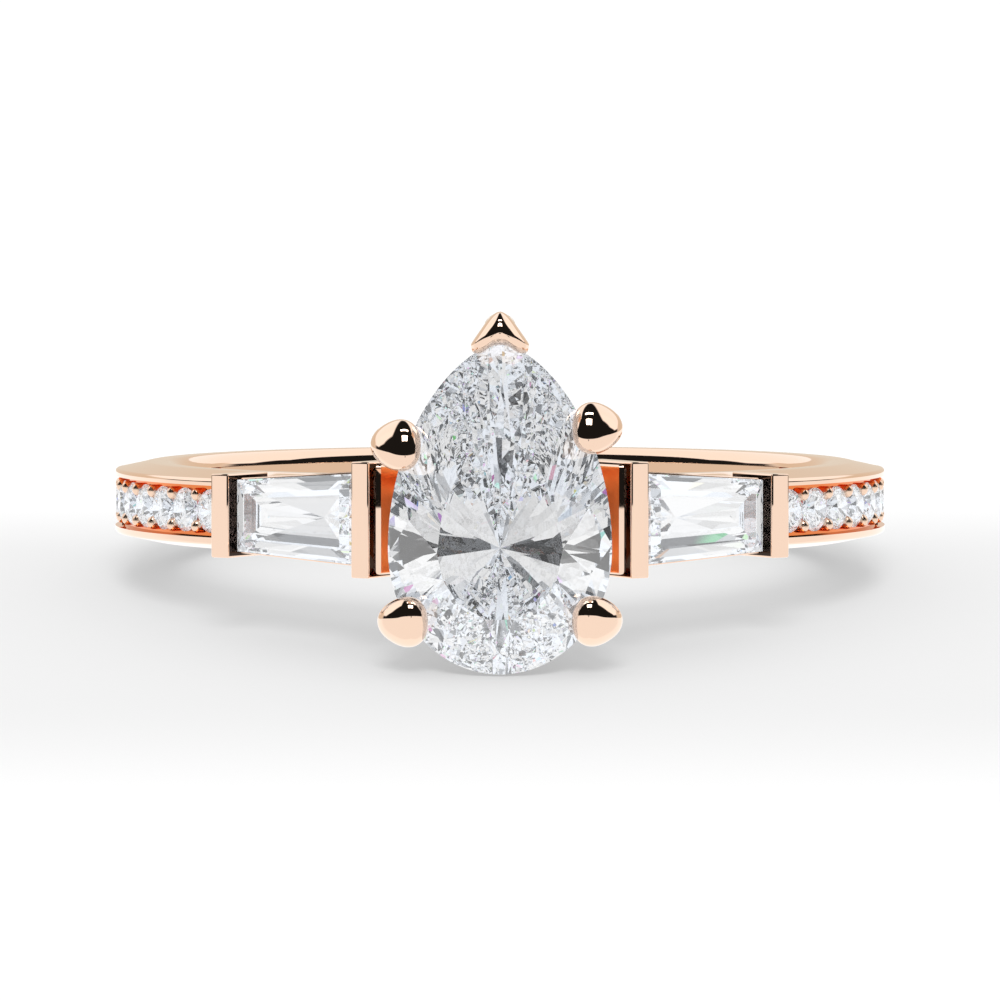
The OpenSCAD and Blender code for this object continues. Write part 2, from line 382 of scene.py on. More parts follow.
@dataclass(frozen=True)
class GoldFinish:
    """Polished rose gold, with the faint unevenness that buffing leaves."""

    name: str
    colour: Colour
    warm: Colour
    gloss: float = 0.035
    haze: float = 0.03
    ripple: float = 0.04
    ripple_depth: float = 0.00002
    cloud_scale: float = 260.0
    wipe_scale: float = 1500.0
    ripple_scale: float = 900.0

    def make(self) -> bpy.types.Material:
        """Builds the material.

        Returns:
            The material.
        """
        material, sheet = Wiring.of_material(self.name)
        shader = sheet.node("ShaderNodeBsdfPrincipled")
        shader.inputs["Metallic"].default_value = 1.0
        clouds = sheet.rise(sheet.noise(self.cloud_scale), 0.3, 0.7)
        sheet.feed(shader.inputs["Base Color"], sheet.tint(clouds, self.colour, self.warm))
        wipe = sheet.rise(sheet.noise(self.wipe_scale, 4.0), 0.35, 0.75)
        sheet.feed(shader.inputs["Roughness"], sheet.blend(wipe, self.gloss, self.gloss + self.haze))
        bump = sheet.node("ShaderNodeBump")
        bump.inputs["Strength"].default_value = self.ripple
        bump.inputs["Distance"].default_value = self.ripple_depth
        sheet.feed(bump.inputs["Height"], sheet.noise(self.ripple_scale, 1.0))
        sheet.feed(shader.inputs["Normal"], bump.outputs["Normal"])
        sheet.surface(shader.outputs["BSDF"])
        return material


@dataclass(frozen=True)
class DiamondFinish:
    """Clear diamond whose body has the slightest drift in colour."""

    name: str
    colour: Colour = (1.0, 1.0, 1.0)
    drift: Colour = (0.985, 0.99, 1.0)
    ior: float = 2.417
    cloud_scale: float = 500.0

    def make(self) -> bpy.types.Material:
        """Builds the material.

        Returns:
            The material.
        """
        material, sheet = Wiring.of_material(self.name)
        shader = sheet.node("ShaderNodeBsdfPrincipled")
        shader.inputs["Transmission Weight"].default_value = 1.0
        shader.inputs["IOR"].default_value = self.ior
        shader.inputs["Roughness"].default_value = 0.0
        cloud = sheet.rise(sheet.noise(self.cloud_scale), 0.35, 0.65)
        sheet.feed(shader.inputs["Base Color"], sheet.tint(cloud, self.colour, self.drift))
        sheet.surface(shader.outputs["BSDF"])
        return material


@dataclass(frozen=True)
class FloorFinish:
    """Matt white sheet that also glows with its own colour, a painted glow that lifts its shadows; its grey
    near the ring whitens ahead of the ring and behind it, a painted falloff of light.

    The four reaches along Y are in metres.
    """

    name: str = "white_floor"
    colour: Colour = (0.865, 0.865, 0.865)
    mottle: Colour = (0.86, 0.86, 0.86)
    # White far ahead and behind, grey near the ring: a painted falloff of light.
    far: Colour = (1.0, 1.0, 1.0)
    glow: float = 1.05
    glow_share: float = 0.5
    mottle_scale: float = 40.0
    ahead_from: float = -0.016
    ahead_to: float = -0.033
    behind_from: float = 0.0035
    behind_to: float = 0.017

    def make(self) -> bpy.types.Material:
        """Builds the material.

        Returns:
            The material.
        """
        material, sheet = Wiring.of_material(self.name)
        shader = sheet.node("ShaderNodeBsdfDiffuse")
        cloud = sheet.rise(sheet.noise(self.mottle_scale), 0.3, 0.7)
        split = sheet.node("ShaderNodeSeparateXYZ")
        sheet.feed(split.inputs[0], sheet.node("ShaderNodeTexCoord").outputs["Object"])
        ahead = sheet.rise(split.outputs["Y"], self.ahead_from, self.ahead_to)
        behind = sheet.rise(split.outputs["Y"], self.behind_from, self.behind_to)
        base = sheet.tint(cloud, self.colour, self.mottle)
        paint = sheet.tint(sheet.sum("MAXIMUM", ahead, behind), base, self.far)
        sheet.feed(shader.inputs["Color"], paint)
        # Painted glow: half the floor shines with its own colour, which lifts its shadows.
        glow = sheet.node("ShaderNodeEmission")
        glow.inputs["Strength"].default_value = self.glow
        sheet.feed(glow.inputs["Color"], paint)
        mix = sheet.node("ShaderNodeMixShader")
        mix.inputs[0].default_value = self.glow_share
        sheet.feed(mix.inputs[1], shader.outputs["BSDF"])
        sheet.feed(mix.inputs[2], glow.outputs["Emission"])
        sheet.surface(mix.outputs["Shader"])
        return material


@dataclass(frozen=True)
class CardFinish:
    """Studio card that shines evenly, with the lightest mottle."""

    name: str
    colour: Colour
    dimmer: float = 0.97
    mottle_scale: float = 90.0

    def make(self) -> bpy.types.Material:
        """Builds the material.

        Returns:
            The material.
        """
        material, sheet = Wiring.of_material(self.name)
        glow = sheet.node("ShaderNodeEmission")
        cloud = sheet.rise(sheet.noise(self.mottle_scale), 0.3, 0.7)
        dim = tuple(self.dimmer * value for value in self.colour)
        sheet.feed(glow.inputs["Color"], sheet.tint(cloud, self.colour, dim))
        sheet.surface(glow.outputs["Emission"])
        return material


class Jeweller:
    """Holds the finishes, and fits each finished piece to its body, nodes and slot."""

    def __init__(self) -> None:
        """Makes the finishes."""
        self.gold = GoldFinish("rose_gold_polish", (0.93, 0.69, 0.54), (0.915, 0.675, 0.525)).make()
        # Deep orange gold for channels and seats: painted recess shade, standing in for light bounced between
        # gold walls.
        self.recess_shade_gold = GoldFinish("rose_gold_recess", (0.82, 0.24, 0.07), (0.78, 0.21, 0.06)).make()
        self.grain_gold = GoldFinish(
            "rose_gold_grain", (0.95, 0.70, 0.54), (0.93, 0.68, 0.52), gloss=0.24, haze=0.08).make()
        # Bright orange gold for the cheek's hollow: a painted reflection of light bounced between gold
        # surfaces.
        self.cheek_gold = GoldFinish(
            "rose_gold_cheek", (0.98, 0.36, 0.12), (0.96, 0.33, 0.10), gloss=0.3, haze=0.08).make()
        # Near-black gold for the bars' inner faces: a painted dark reflection.
        self.dark_reflection_gold = GoldFinish("rose_gold_shade", (0.035, 0.02, 0.014), (0.03, 0.018, 0.012)).make()
        self.centre = DiamondFinish("diamond_pear").make()
        self.sides = DiamondFinish("diamond_baguette").make()
        self.pave = DiamondFinish("diamond_pave").make()

    def fit(
        self,
        piece: bpy.types.Object,
        slot: Slot,
        nodes: Iterable[str],
        *finishes: bpy.types.Material,
    ) -> None:
        """Dresses a piece and makes it stand for its CAD nodes.

        Args:
            piece: The finished mesh.
            slot: The record's slot of its finish; gold pieces are kept out of the rays that have crossed a
                stone.
            nodes: CAD nodes it replaces.
            *finishes: Materials, in the order of their numbers.
        """
        marks = [face.material_index for face in piece.data.polygons]
        piece.data.materials.clear()
        for finish in finishes:
            piece.data.materials.append(finish)
        for face, mark in zip(piece.data.polygons, marks):
            face.material_index = mark
        piece.visible_transmission = slot is not Slot.GOLD
        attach(piece, "root")
        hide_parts(*nodes)
        log.info("%s: %d faces", piece.name, len(piece.data.polygons))


def polar(radius: float, angle: float, z: float) -> Point:
    """A point round the finger, from the front.

    Args:
        radius: Distance from the axis of the finger hole.
        angle: Degrees from the front, growing towards the right.
        z: Distance along the finger.

    Returns:
        The point.
    """
    turn = math.radians(angle)
    return (radius * math.sin(turn), -radius * math.cos(turn), z)


def spread(start: float, end: float, steps: int) -> list[float]:
    """Evenly spaced numbers, both ends included."""
    return [start + (end - start) * step / steps for step in range(steps + 1)]


def turns(count: int) -> list[float]:
    """Angles in radians that share one whole turn evenly."""
    return [math.tau * step / count for step in range(count)]


def wave(turn: float) -> Flat:
    """The cosine and the sine of an angle in degrees."""
    return math.cos(math.radians(turn)), math.sin(math.radians(turn))


@dataclass
class Band:
    """The band: flat bore, sloped flanks, railed shoulders and a domed back.

    Attributes:
        bore_r: Radius of the finger hole.
        bore_edge: Radius of the rounding where the bore meets the flanks.
        half_width: Half the band's width along the finger, at its flanks.
        shoulder_r: Radius at which the flanks begin to slope.
        outer_r: Radius of the outer face.
        rail_half: Half the width of the outer face.
        rail_edge: Radius of the rounding round the outer face.
        dome_r: Radius of the back's dome across the band.
        dome_out: Radius of the dome's crest about its own centre.
        dome_shift: How far that centre lies towards the front.
        soften: Width over which dome and rails run into each other.
        stations: Sections round the band.
        guard: Distance of the first point on a flat beside a rounding.
        cut_r: Radius beyond all metal, where the notch's cutter ends.
        notch_half: Half the height of the notch's cutter.
        under_head_r: Radius of the notch's floor, under the head.
        notch_end: Angle at which the notch ends.
        channel_half: Half the width of the channels for the pave.
        channel_r: Radius of their floor.
        channel_cut_r: Radius at which their cutter ends.
        channel_start: Angle of their end beside the head.
        channel_end: Angle of their other end.
    """

    bore_r: float = 8.5
    bore_edge: float = 0.36
    half_width: float = 1.02
    shoulder_r: float = 9.3
    outer_r: float = 10.2
    rail_half: float = 0.85
    rail_edge: float = 0.1
    dome_r: float = 1.35
    dome_out: float = 11.0
    dome_shift: float = 0.8
    soften: float = 0.03
    stations: int = 720
    guard: float = 0.03
    cut_r: float = 11.5
    notch_half: float = 1.5
    under_head_r: float = BASE_R
    notch_end: float = 35.5
    channel_half: float = 0.66
    channel_r: float = 9.94
    channel_cut_r: float = 10.8
    channel_start: float = 43.6
    channel_end: float = 97.35

    def half_profile(self) -> list[Flat]:
        """The upper half of the section, from the bore round to the outer face.

        Returns:
            Points as radius and height along the finger.
        """
        flat = self.half_width - self.bore_edge
        points = [(self.bore_r, z) for z in (0.0, 0.3, 0.6, flat - self.guard)]
        for turn in spread(180.0, 90.0, 8):
            across, up = wave(turn)
            points.append((self.bore_r + self.bore_edge * (1 + across), flat + self.bore_edge * up))
        points += [(r, self.half_width) for r in (8.9, 9.05, self.shoulder_r - 0.04)]
        rail_r = self.outer_r - self.rail_edge
        for share in spread(0.05, 0.97, 10):
            points.append((
                self.shoulder_r + (rail_r - self.shoulder_r) * share,
                self.half_width + (self.rail_half - self.half_width) * share))
        face = self.rail_half - self.rail_edge
        for turn in spread(78.0, 0.0, 8):
            across, up = wave(turn)
            points.append((rail_r + self.rail_edge * across, face + self.rail_edge * up))
        points += [(self.outer_r, face - down) for down in (self.guard, 0.2, 0.4, 0.6)]
        return points

    def outer_limit(self, angle: float, z: float) -> float:
        """Radius at which the dome of the back ends the metal.

        Args:
            angle: Degrees from the front.
            z: Height along the finger.

        Returns:
            The radius.
        """
        reach = self.dome_out - self.dome_r + math.sqrt(max(self.dome_r**2 - z * z, 0.0))
        ahead, side = wave(angle)
        side *= self.dome_shift
        return self.dome_shift * ahead + math.sqrt(reach * reach - side * side)

    def section(self, angle: float) -> list[Point]:
        """The whole section at one angle.

        Args:
            angle: Degrees from the front.

        Returns:
            A closed ring of points.
        """
        upper = self.half_profile()
        lower = [(r, -z) for r, z in reversed(upper[1:])]
        ring = []
        for r, z in upper + lower:
            limit = self.outer_limit(angle, z)
            gap = limit - r
            r = (r + limit - math.sqrt(gap * gap + self.soften**2)) / 2
            ring.append(polar(max(r, self.bore_r), angle, z))
        return ring

    def sector(self, inner: float, outer: float, half: float, start: float, end: float) -> Blank:
        """A curved block, used to cut the band.

        Args:
            inner: Inner radius.
            outer: Outer radius.
            half: Half its height along the finger.
            start: First angle in degrees.
            end: Last angle in degrees.

        Returns:
            The block.
        """
        block = Blank()
        corners = ((inner, -half), (outer, -half), (outer, half), (inner, half))
        angles = spread(start, end, int(abs(end - start) * 2))
        block.loft([[polar(r, angle, z) for r, z in corners] for angle in angles])
        return block

    def build(self, jeweller: Jeweller, seats: Blank) -> bpy.types.Object:
        """Makes the band and cuts its notch, channels and seats.

        Args:
            jeweller: Fits the piece.
            seats: The seats' cutter.

        Returns:
            The band.
        """
        blank = Blank()
        blank.loft([self.section(360.0 * n / self.stations) for n in range(self.stations)], closed=True)
        band = blank.piece("band")
        band.data.materials.append(jeweller.gold)
        band.data.materials.append(jeweller.recess_shade_gold)
        notch = self.sector(self.under_head_r, self.cut_r, self.notch_half, -self.notch_end, self.notch_end)
        Bench.saw(band, self.dressed(notch, jeweller, 0))
        # The faces the channel and seat cutters leave take the deep orange painted recess shade.
        for side in Side:
            start, end = side.value * self.channel_start, side.value * self.channel_end
            channel = self.sector(self.channel_r, self.channel_cut_r, self.channel_half, start, end)
            Bench.saw(band, self.dressed(channel, jeweller, 1))
        Bench.saw(band, self.dressed(seats, jeweller, 1))
        Bench.polish(band, 30.0)
        jeweller.fit(band, Slot.GOLD, ["shank"], jeweller.gold, jeweller.recess_shade_gold)
        return band

    @staticmethod
    def dressed(blank: Blank, jeweller: Jeweller, mark: int) -> bpy.types.Object:
        """Closes a cutter whose faces leave one of the band's two finishes behind: plain gold, or the deep
        orange painted shade of the recesses.

        Args:
            blank: The cutter's blank.
            jeweller: Holds the finishes.
            mark: 0 for the plain finish, 1 for the painted recess shade.

        Returns:
            The cutter.
        """
        cutter = blank.piece("cutter", mark)
        cutter.data.materials.append(jeweller.gold)
        cutter.data.materials.append(jeweller.recess_shade_gold)
        return cutter


class Grinder:
    """Grinds flat facets on a rough stone, one plane at a time."""

    def __init__(self, outline: list[Flat], bottom: float, top: float) -> None:
        """Starts from an upright prism.

        Args:
            outline: The girdle's outline, anticlockwise.
            bottom: Height of the prism's underside.
            top: Height of its upper side.
        """
        self.stone = bmesh.new()
        low = [self.stone.verts.new((x, y, bottom)) for x, y in outline]
        high = [self.stone.verts.new((x, y, top)) for x, y in outline]
        count = len(outline)
        for n in range(count):
            after = (n + 1) % count
            self.stone.faces.new((low[n], low[after], high[after], high[n]))
        self.stone.faces.new(list(reversed(low)))
        self.stone.faces.new(high)

    def facet(self, point: Vector, normal: Vector) -> None:
        """Grinds everything beyond one plane away, and closes the cut.

        Args:
            point: A point on the plane.
            normal: The side that goes.
        """
        everything = self.stone.verts[:] + self.stone.edges[:] + self.stone.faces[:]
        bmesh.ops.bisect_plane(
            self.stone, geom=everything, dist=1e-4, plane_co=point, plane_no=normal, clear_outer=True)
        rim = [edge for edge in self.stone.edges if edge.is_boundary]
        if rim:
            bmesh.ops.edgeloop_fill(self.stone, edges=rim)

    def facet_through(self, first: Vector, second: Vector, third: Vector) -> None:
        """Grinds the plane through three points, with the stone's centre kept.

        Args:
            first: A point on the plane.
            second: A point on the plane.
            third: A point on the plane.
        """
        normal = (second - first).cross(third - first).normalized()
        if normal.dot(first) < 0:
            normal = -normal
        self.facet(first, normal)

    def lift(self, place: Callable[[Vector], Point]) -> Blank:
        """Takes the stone off the wheel.

        Args:
            place: Moves a point from the stone's space to the ring's.

        Returns:
            The stone as a blank.
        """
        bmesh.ops.remove_doubles(self.stone, verts=self.stone.verts[:], dist=5e-4)
        bmesh.ops.dissolve_degenerate(self.stone, edges=self.stone.edges[:], dist=5e-4)
        self.stone.verts.index_update()
        blank = Blank()
        blank.add(
            [place(vert.co) for vert in self.stone.verts],
            [[vert.index for vert in face.verts] for face in self.stone.faces])
        self.stone.free()
        return blank


@dataclass
class Brilliant:
    """A brilliant cut on any rounded outline: kites, stars and halves over a pointed pavilion.

    Attributes:
        table: Size of the table, as a share of the outline.
        crown: Height of the table over the middle of the girdle.
        girdle: Height of the girdle's band.
        pavilion: Depth of the culet.
        star: How far down the crown the stars reach, as a share.
        lower: How far down the pavilion the lower halves reach, as a share.
    """

    table: float
    crown: float
    girdle: float
    pavilion: float
    star: float = 0.5
    lower: float = 0.76

    def cut(
        self,
        outline: Callable[[float], Flat],
        crown_mains: list[float],
        pavilion_mains: list[float],
        around: float,
        smooth: int,
    ) -> Grinder:
        """Cuts all the facets.

        Args:
            outline: Point of the outline for a distance round it.
            crown_mains: Distances round the outline at which the crown's main facets sit, growing.
            pavilion_mains: The same for the pavilion.
            around: The distance that makes one whole turn.
            smooth: Sides of the girdle.

        Returns:
            The grinder with the finished stone on it.
        """
        rim = [outline(around * n / smooth) for n in range(smooth)]
        wheel = Grinder(rim, -self.pavilion - 1.0, self.crown)
        for mains, height in ((crown_mains, self.crown), (pavilion_mains, -self.pavilion)):
            nexts = mains[1:] + [mains[0] + around]
            between = [(one + two) / 2 for one, two in zip(mains, nexts)]
            self.side(wheel, outline, mains, between, height, height > 0)
        return wheel

    def side(
        self,
        wheel: Grinder,
        outline: Callable[[float], Flat],
        mains: list[float],
        between: list[float],
        height: float,
        is_crown: bool,
    ) -> None:
        """Cuts the crown or the pavilion.

        Args:
            wheel: Holds the stone.
            outline: Point of the outline for a distance round it.
            mains: Distances of the main facets.
            between: Distances of the ridges between them.
            height: Height of the table or of the culet.
            is_crown: Whether the mains end at a table instead of a culet.
        """
        level = math.copysign(self.girdle / 2, height)
        count = len(mains)
        feet, planes, tips = [], [], []
        for main in mains:
            x, y = outline(main)
            foot = Vector((x, y, level))
            before, after = (Vector(outline(main + step)) for step in (-TOUCH, TOUCH))
            along = Vector((*(after - before), 0.0)).normalized()
            scale = self.table if is_crown else 0.0
            tip = Vector((x * scale, y * scale, height))
            normal = along.cross(tip - foot).normalized()
            if normal.dot(foot) < 0:
                normal = -normal
            feet.append(foot)
            tips.append(tip)
            planes.append((foot, normal))
            wheel.facet(foot, normal)
        share = self.star if is_crown else self.lower
        target = level + (height - level) * share
        knees = []
        for n in range(count):
            (one, normal_one), (two, normal_two) = planes[n], planes[(n + 1) % count]
            knees.append(self.meet(one, normal_one, two, normal_two, target))
        for n in range(count):
            after = (n + 1) % count
            ridge = Vector((*outline(between[n]), level))
            wheel.facet_through(feet[n], ridge, knees[n])
            wheel.facet_through(feet[after], ridge, knees[n])
            if is_crown:
                wheel.facet_through(tips[n], tips[after], knees[n])

    @staticmethod
    def meet(one: Vector, normal_one: Vector, two: Vector, normal_two: Vector, height: float) -> Vector:
        """Where two planes meet at one height.

        Args:
            one: Point on the first plane.
            normal_one: Its normal.
            two: Point on the second plane.
            normal_two: Its normal.
            height: The height.

        Returns:
            The meeting point.
        """
        a = normal_one.dot(one) - normal_one.z * height
        b = normal_two.dot(two) - normal_two.z * height
        det = normal_one.x * normal_two.y - normal_one.y * normal_two.x
        return Vector((
            (a * normal_two.y - b * normal_one.y) / det,
            (normal_one.x * b - normal_two.x * a) / det,
            height))


@dataclass
class Pave:
    """Small round stones in the channels of both shoulders, with their seats and grains.

    Attributes:
        diameter: Of each stone.
        girdle_r: Radius at which the girdles lie.
        floor_r: Radius of the channel's floor, from which the grains stand up.
        count: Stones on each shoulder.
        table: Size of a stone's table, as a share of its outline.
        crown: Height of the crown, as a share of the diameter.
        girdle: Height of the girdle, as a share of the diameter.
        pavilion: Depth of the pavilion, as a share of the diameter.
        mains: Main facets on the crown and on the pavilion.
        twist: Angle of the first main facet, in radians.
        smooth: Sides of the girdle.
        seat_r: Radius of a seat's rim.
        hole_r: Radius of the light hole below it.
        seat_levels: Heights of the hole's ends, the foot of the cone and the rim.
        grain_w: Half a grain's width round the band.
        grain_h: Half its width along the finger.
        grain_rise: Height of its straight part.
        grain_cap: Height of its round cap.
        grain_z: Distance of the grains from the band's middle.
    """

    diameter: float = 1.12
    girdle_r: float = 10.0
    floor_r: float = 9.94
    count: int = 8
    table: float = 0.57
    crown: float = 0.155
    girdle: float = 0.03
    pavilion: float = 0.43
    mains: int = 8
    twist: float = 0.2
    smooth: int = 48
    seat_r: float = 0.565
    hole_r: float = 0.25
    seat_levels: tuple[float, ...] = (-2.5, -0.42, -0.05, 0.02)
    grain_w: float = 0.15
    grain_h: float = 0.17
    grain_rise: float = 0.105
    grain_cap: float = 0.15
    grain_z: float = 0.41

    def angles(self, side: Side) -> list[float]:
        """Where the stones stand, from the boxes of their CAD nodes.

        Args:
            side: Which shoulder.

        Returns:
            Degrees from the front.
        """
        found = []
        for n in range(1, self.count + 1):
            low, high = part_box(f"pave_stone_{side.word}_{n}")
            middle = (low + high) / 2
            found.append(math.degrees(math.atan2(middle.x, -middle.y)))
        return found

    @staticmethod
    def stand(angle: float, radius: float) -> Callable[[Vector], Point]:
        """A place on the band for something whose own Z points away from the finger.

        Args:
            angle: Degrees from the front.
            radius: Distance of its base from the axis.

        Returns:
            A function that moves a point there.
        """
        ahead, side = wave(angle)
        away = Vector((side, -ahead, 0.0))
        along = Vector((ahead, side, 0.0))

        def place(point: Vector) -> Point:
            """Moves one point."""
            spot = away * (radius + point[2]) + along * point[0]
            return (spot.x, spot.y, point[1])

        return place

    def seats(self) -> Blank:
        """The cutter for all the seats and the light holes below them.

        Returns:
            The cutter.
        """
        blank = Blank()
        levels = list(zip(self.seat_levels, (self.hole_r, self.hole_r, self.seat_r, self.seat_r)))
        for side in Side:
            for angle in self.angles(side):
                place = self.stand(angle, self.girdle_r)
                blank.loft([
                    [place(Vector((r * math.cos(turn), r * math.sin(turn), z))) for turn in turns(40)]
                    for z, r in levels])
        return blank

    def build(self, jeweller: Jeweller) -> None:
        """Makes the stones and the grains.

        Args:
            jeweller: Fits the pieces.
        """
        radius = self.diameter / 2
        heights = (share * self.diameter for share in (self.crown, self.girdle, self.pavilion))
        cut = Brilliant(self.table, *heights)
        mains = [turn + self.twist for turn in turns(self.mains)]

        def outline(turn: float) -> Flat:
            """Point of the girdle."""
            return radius * math.cos(turn), radius * math.sin(turn)

        for side in Side:
            angles = self.angles(side)
            for n, angle in enumerate(angles, 1):
                wheel = cut.cut(outline, mains, mains, math.tau, self.smooth)
                stone = wheel.lift(self.stand(angle, self.girdle_r)).piece(f"round_{side.word}_{n}")
                jeweller.fit(stone, Slot.PAVE, [f"pave_stone_{side.word}_{n}"], jeweller.pave)
            self.grains(jeweller, side, angles)

    def grains(self, jeweller: Jeweller, side: Side, angles: list[float]) -> None:
        """Raises two rows of rounded grains between the stones of one shoulder.

        Args:
            jeweller: Fits the piece.
            side: Which shoulder.
            angles: Where its stones stand.
        """
        step = angles[1] - angles[0]
        blank = Blank()
        for n in range(self.count + 1):
            place = self.stand(angles[0] + step * (n - 0.5), self.floor_r)
            sizes = [(1.0, -0.02)]
            for cap in spread(0.0, 84.0, 7):
                wide, up = wave(cap)
                sizes.append((wide, self.grain_rise + self.grain_cap * up))
            for row in (-1, 1):
                blank.loft([
                    [place(Vector((
                        self.grain_w * wide * math.cos(turn),
                        row * self.grain_z + self.grain_h * wide * math.sin(turn),
                        high)))
                     for turn in turns(24)]
                    for wide, high in sizes])
        grains = blank.piece(f"grains_{side.word}")
        Bench.polish(grains, 50.0)
        jeweller.fit(grains, Slot.GOLD, [f"pave_grains_{side.word}"], jeweller.grain_gold)


@dataclass
class SideFrame:
    """The sloped line of one baguette: x runs outwards along it, h stands away from the finger.

    Attributes:
        side: Side of the ring.
        slope: Degrees by which the line leans back.
        edge: Height of the stone's girdle.
        out_y: How far in front of the finger hole's axis the girdle's outer end lies.
    """

    side: Side
    slope: float = 32.0
    edge: float = 0.04
    out_y: float = 8.95

    def __post_init__(self) -> None:
        """Takes the outer end of the stone's girdle from the CAD."""
        low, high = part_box(f"baguette_{self.side.word}")
        self.cos, self.sin = wave(self.slope)
        self.out_x = max(abs(low.x), abs(high.x)) / MM - self.edge * self.sin

    def at(self, x: float, h: float, z: float) -> Point:
        """Moves a point of the sloped line to the ring's space.

        Args:
            x: Distance outwards along the baguette, from its outer end.
            h: Height over the stone's girdle.
            z: Height along the finger.

        Returns:
            The point.
        """
        return (
            self.side.value * (self.out_x + x * self.cos + h * self.sin),
            -self.out_y + x * self.sin - h * self.cos,
            z)

    def foot(self, x: float, radius: float) -> float:
        """Height at which the line of one x comes down to a radius.

        Args:
            x: Distance along the baguette.
            radius: The radius to reach.

        Returns:
            The height, which is below the girdle.
        """
        ax, ay = self.out_x + x * self.cos, -self.out_y + x * self.sin
        lean = ax * self.sin - ay * self.cos
        return -lean + math.sqrt(lean * lean - ax * ax - ay * ay + radius * radius)


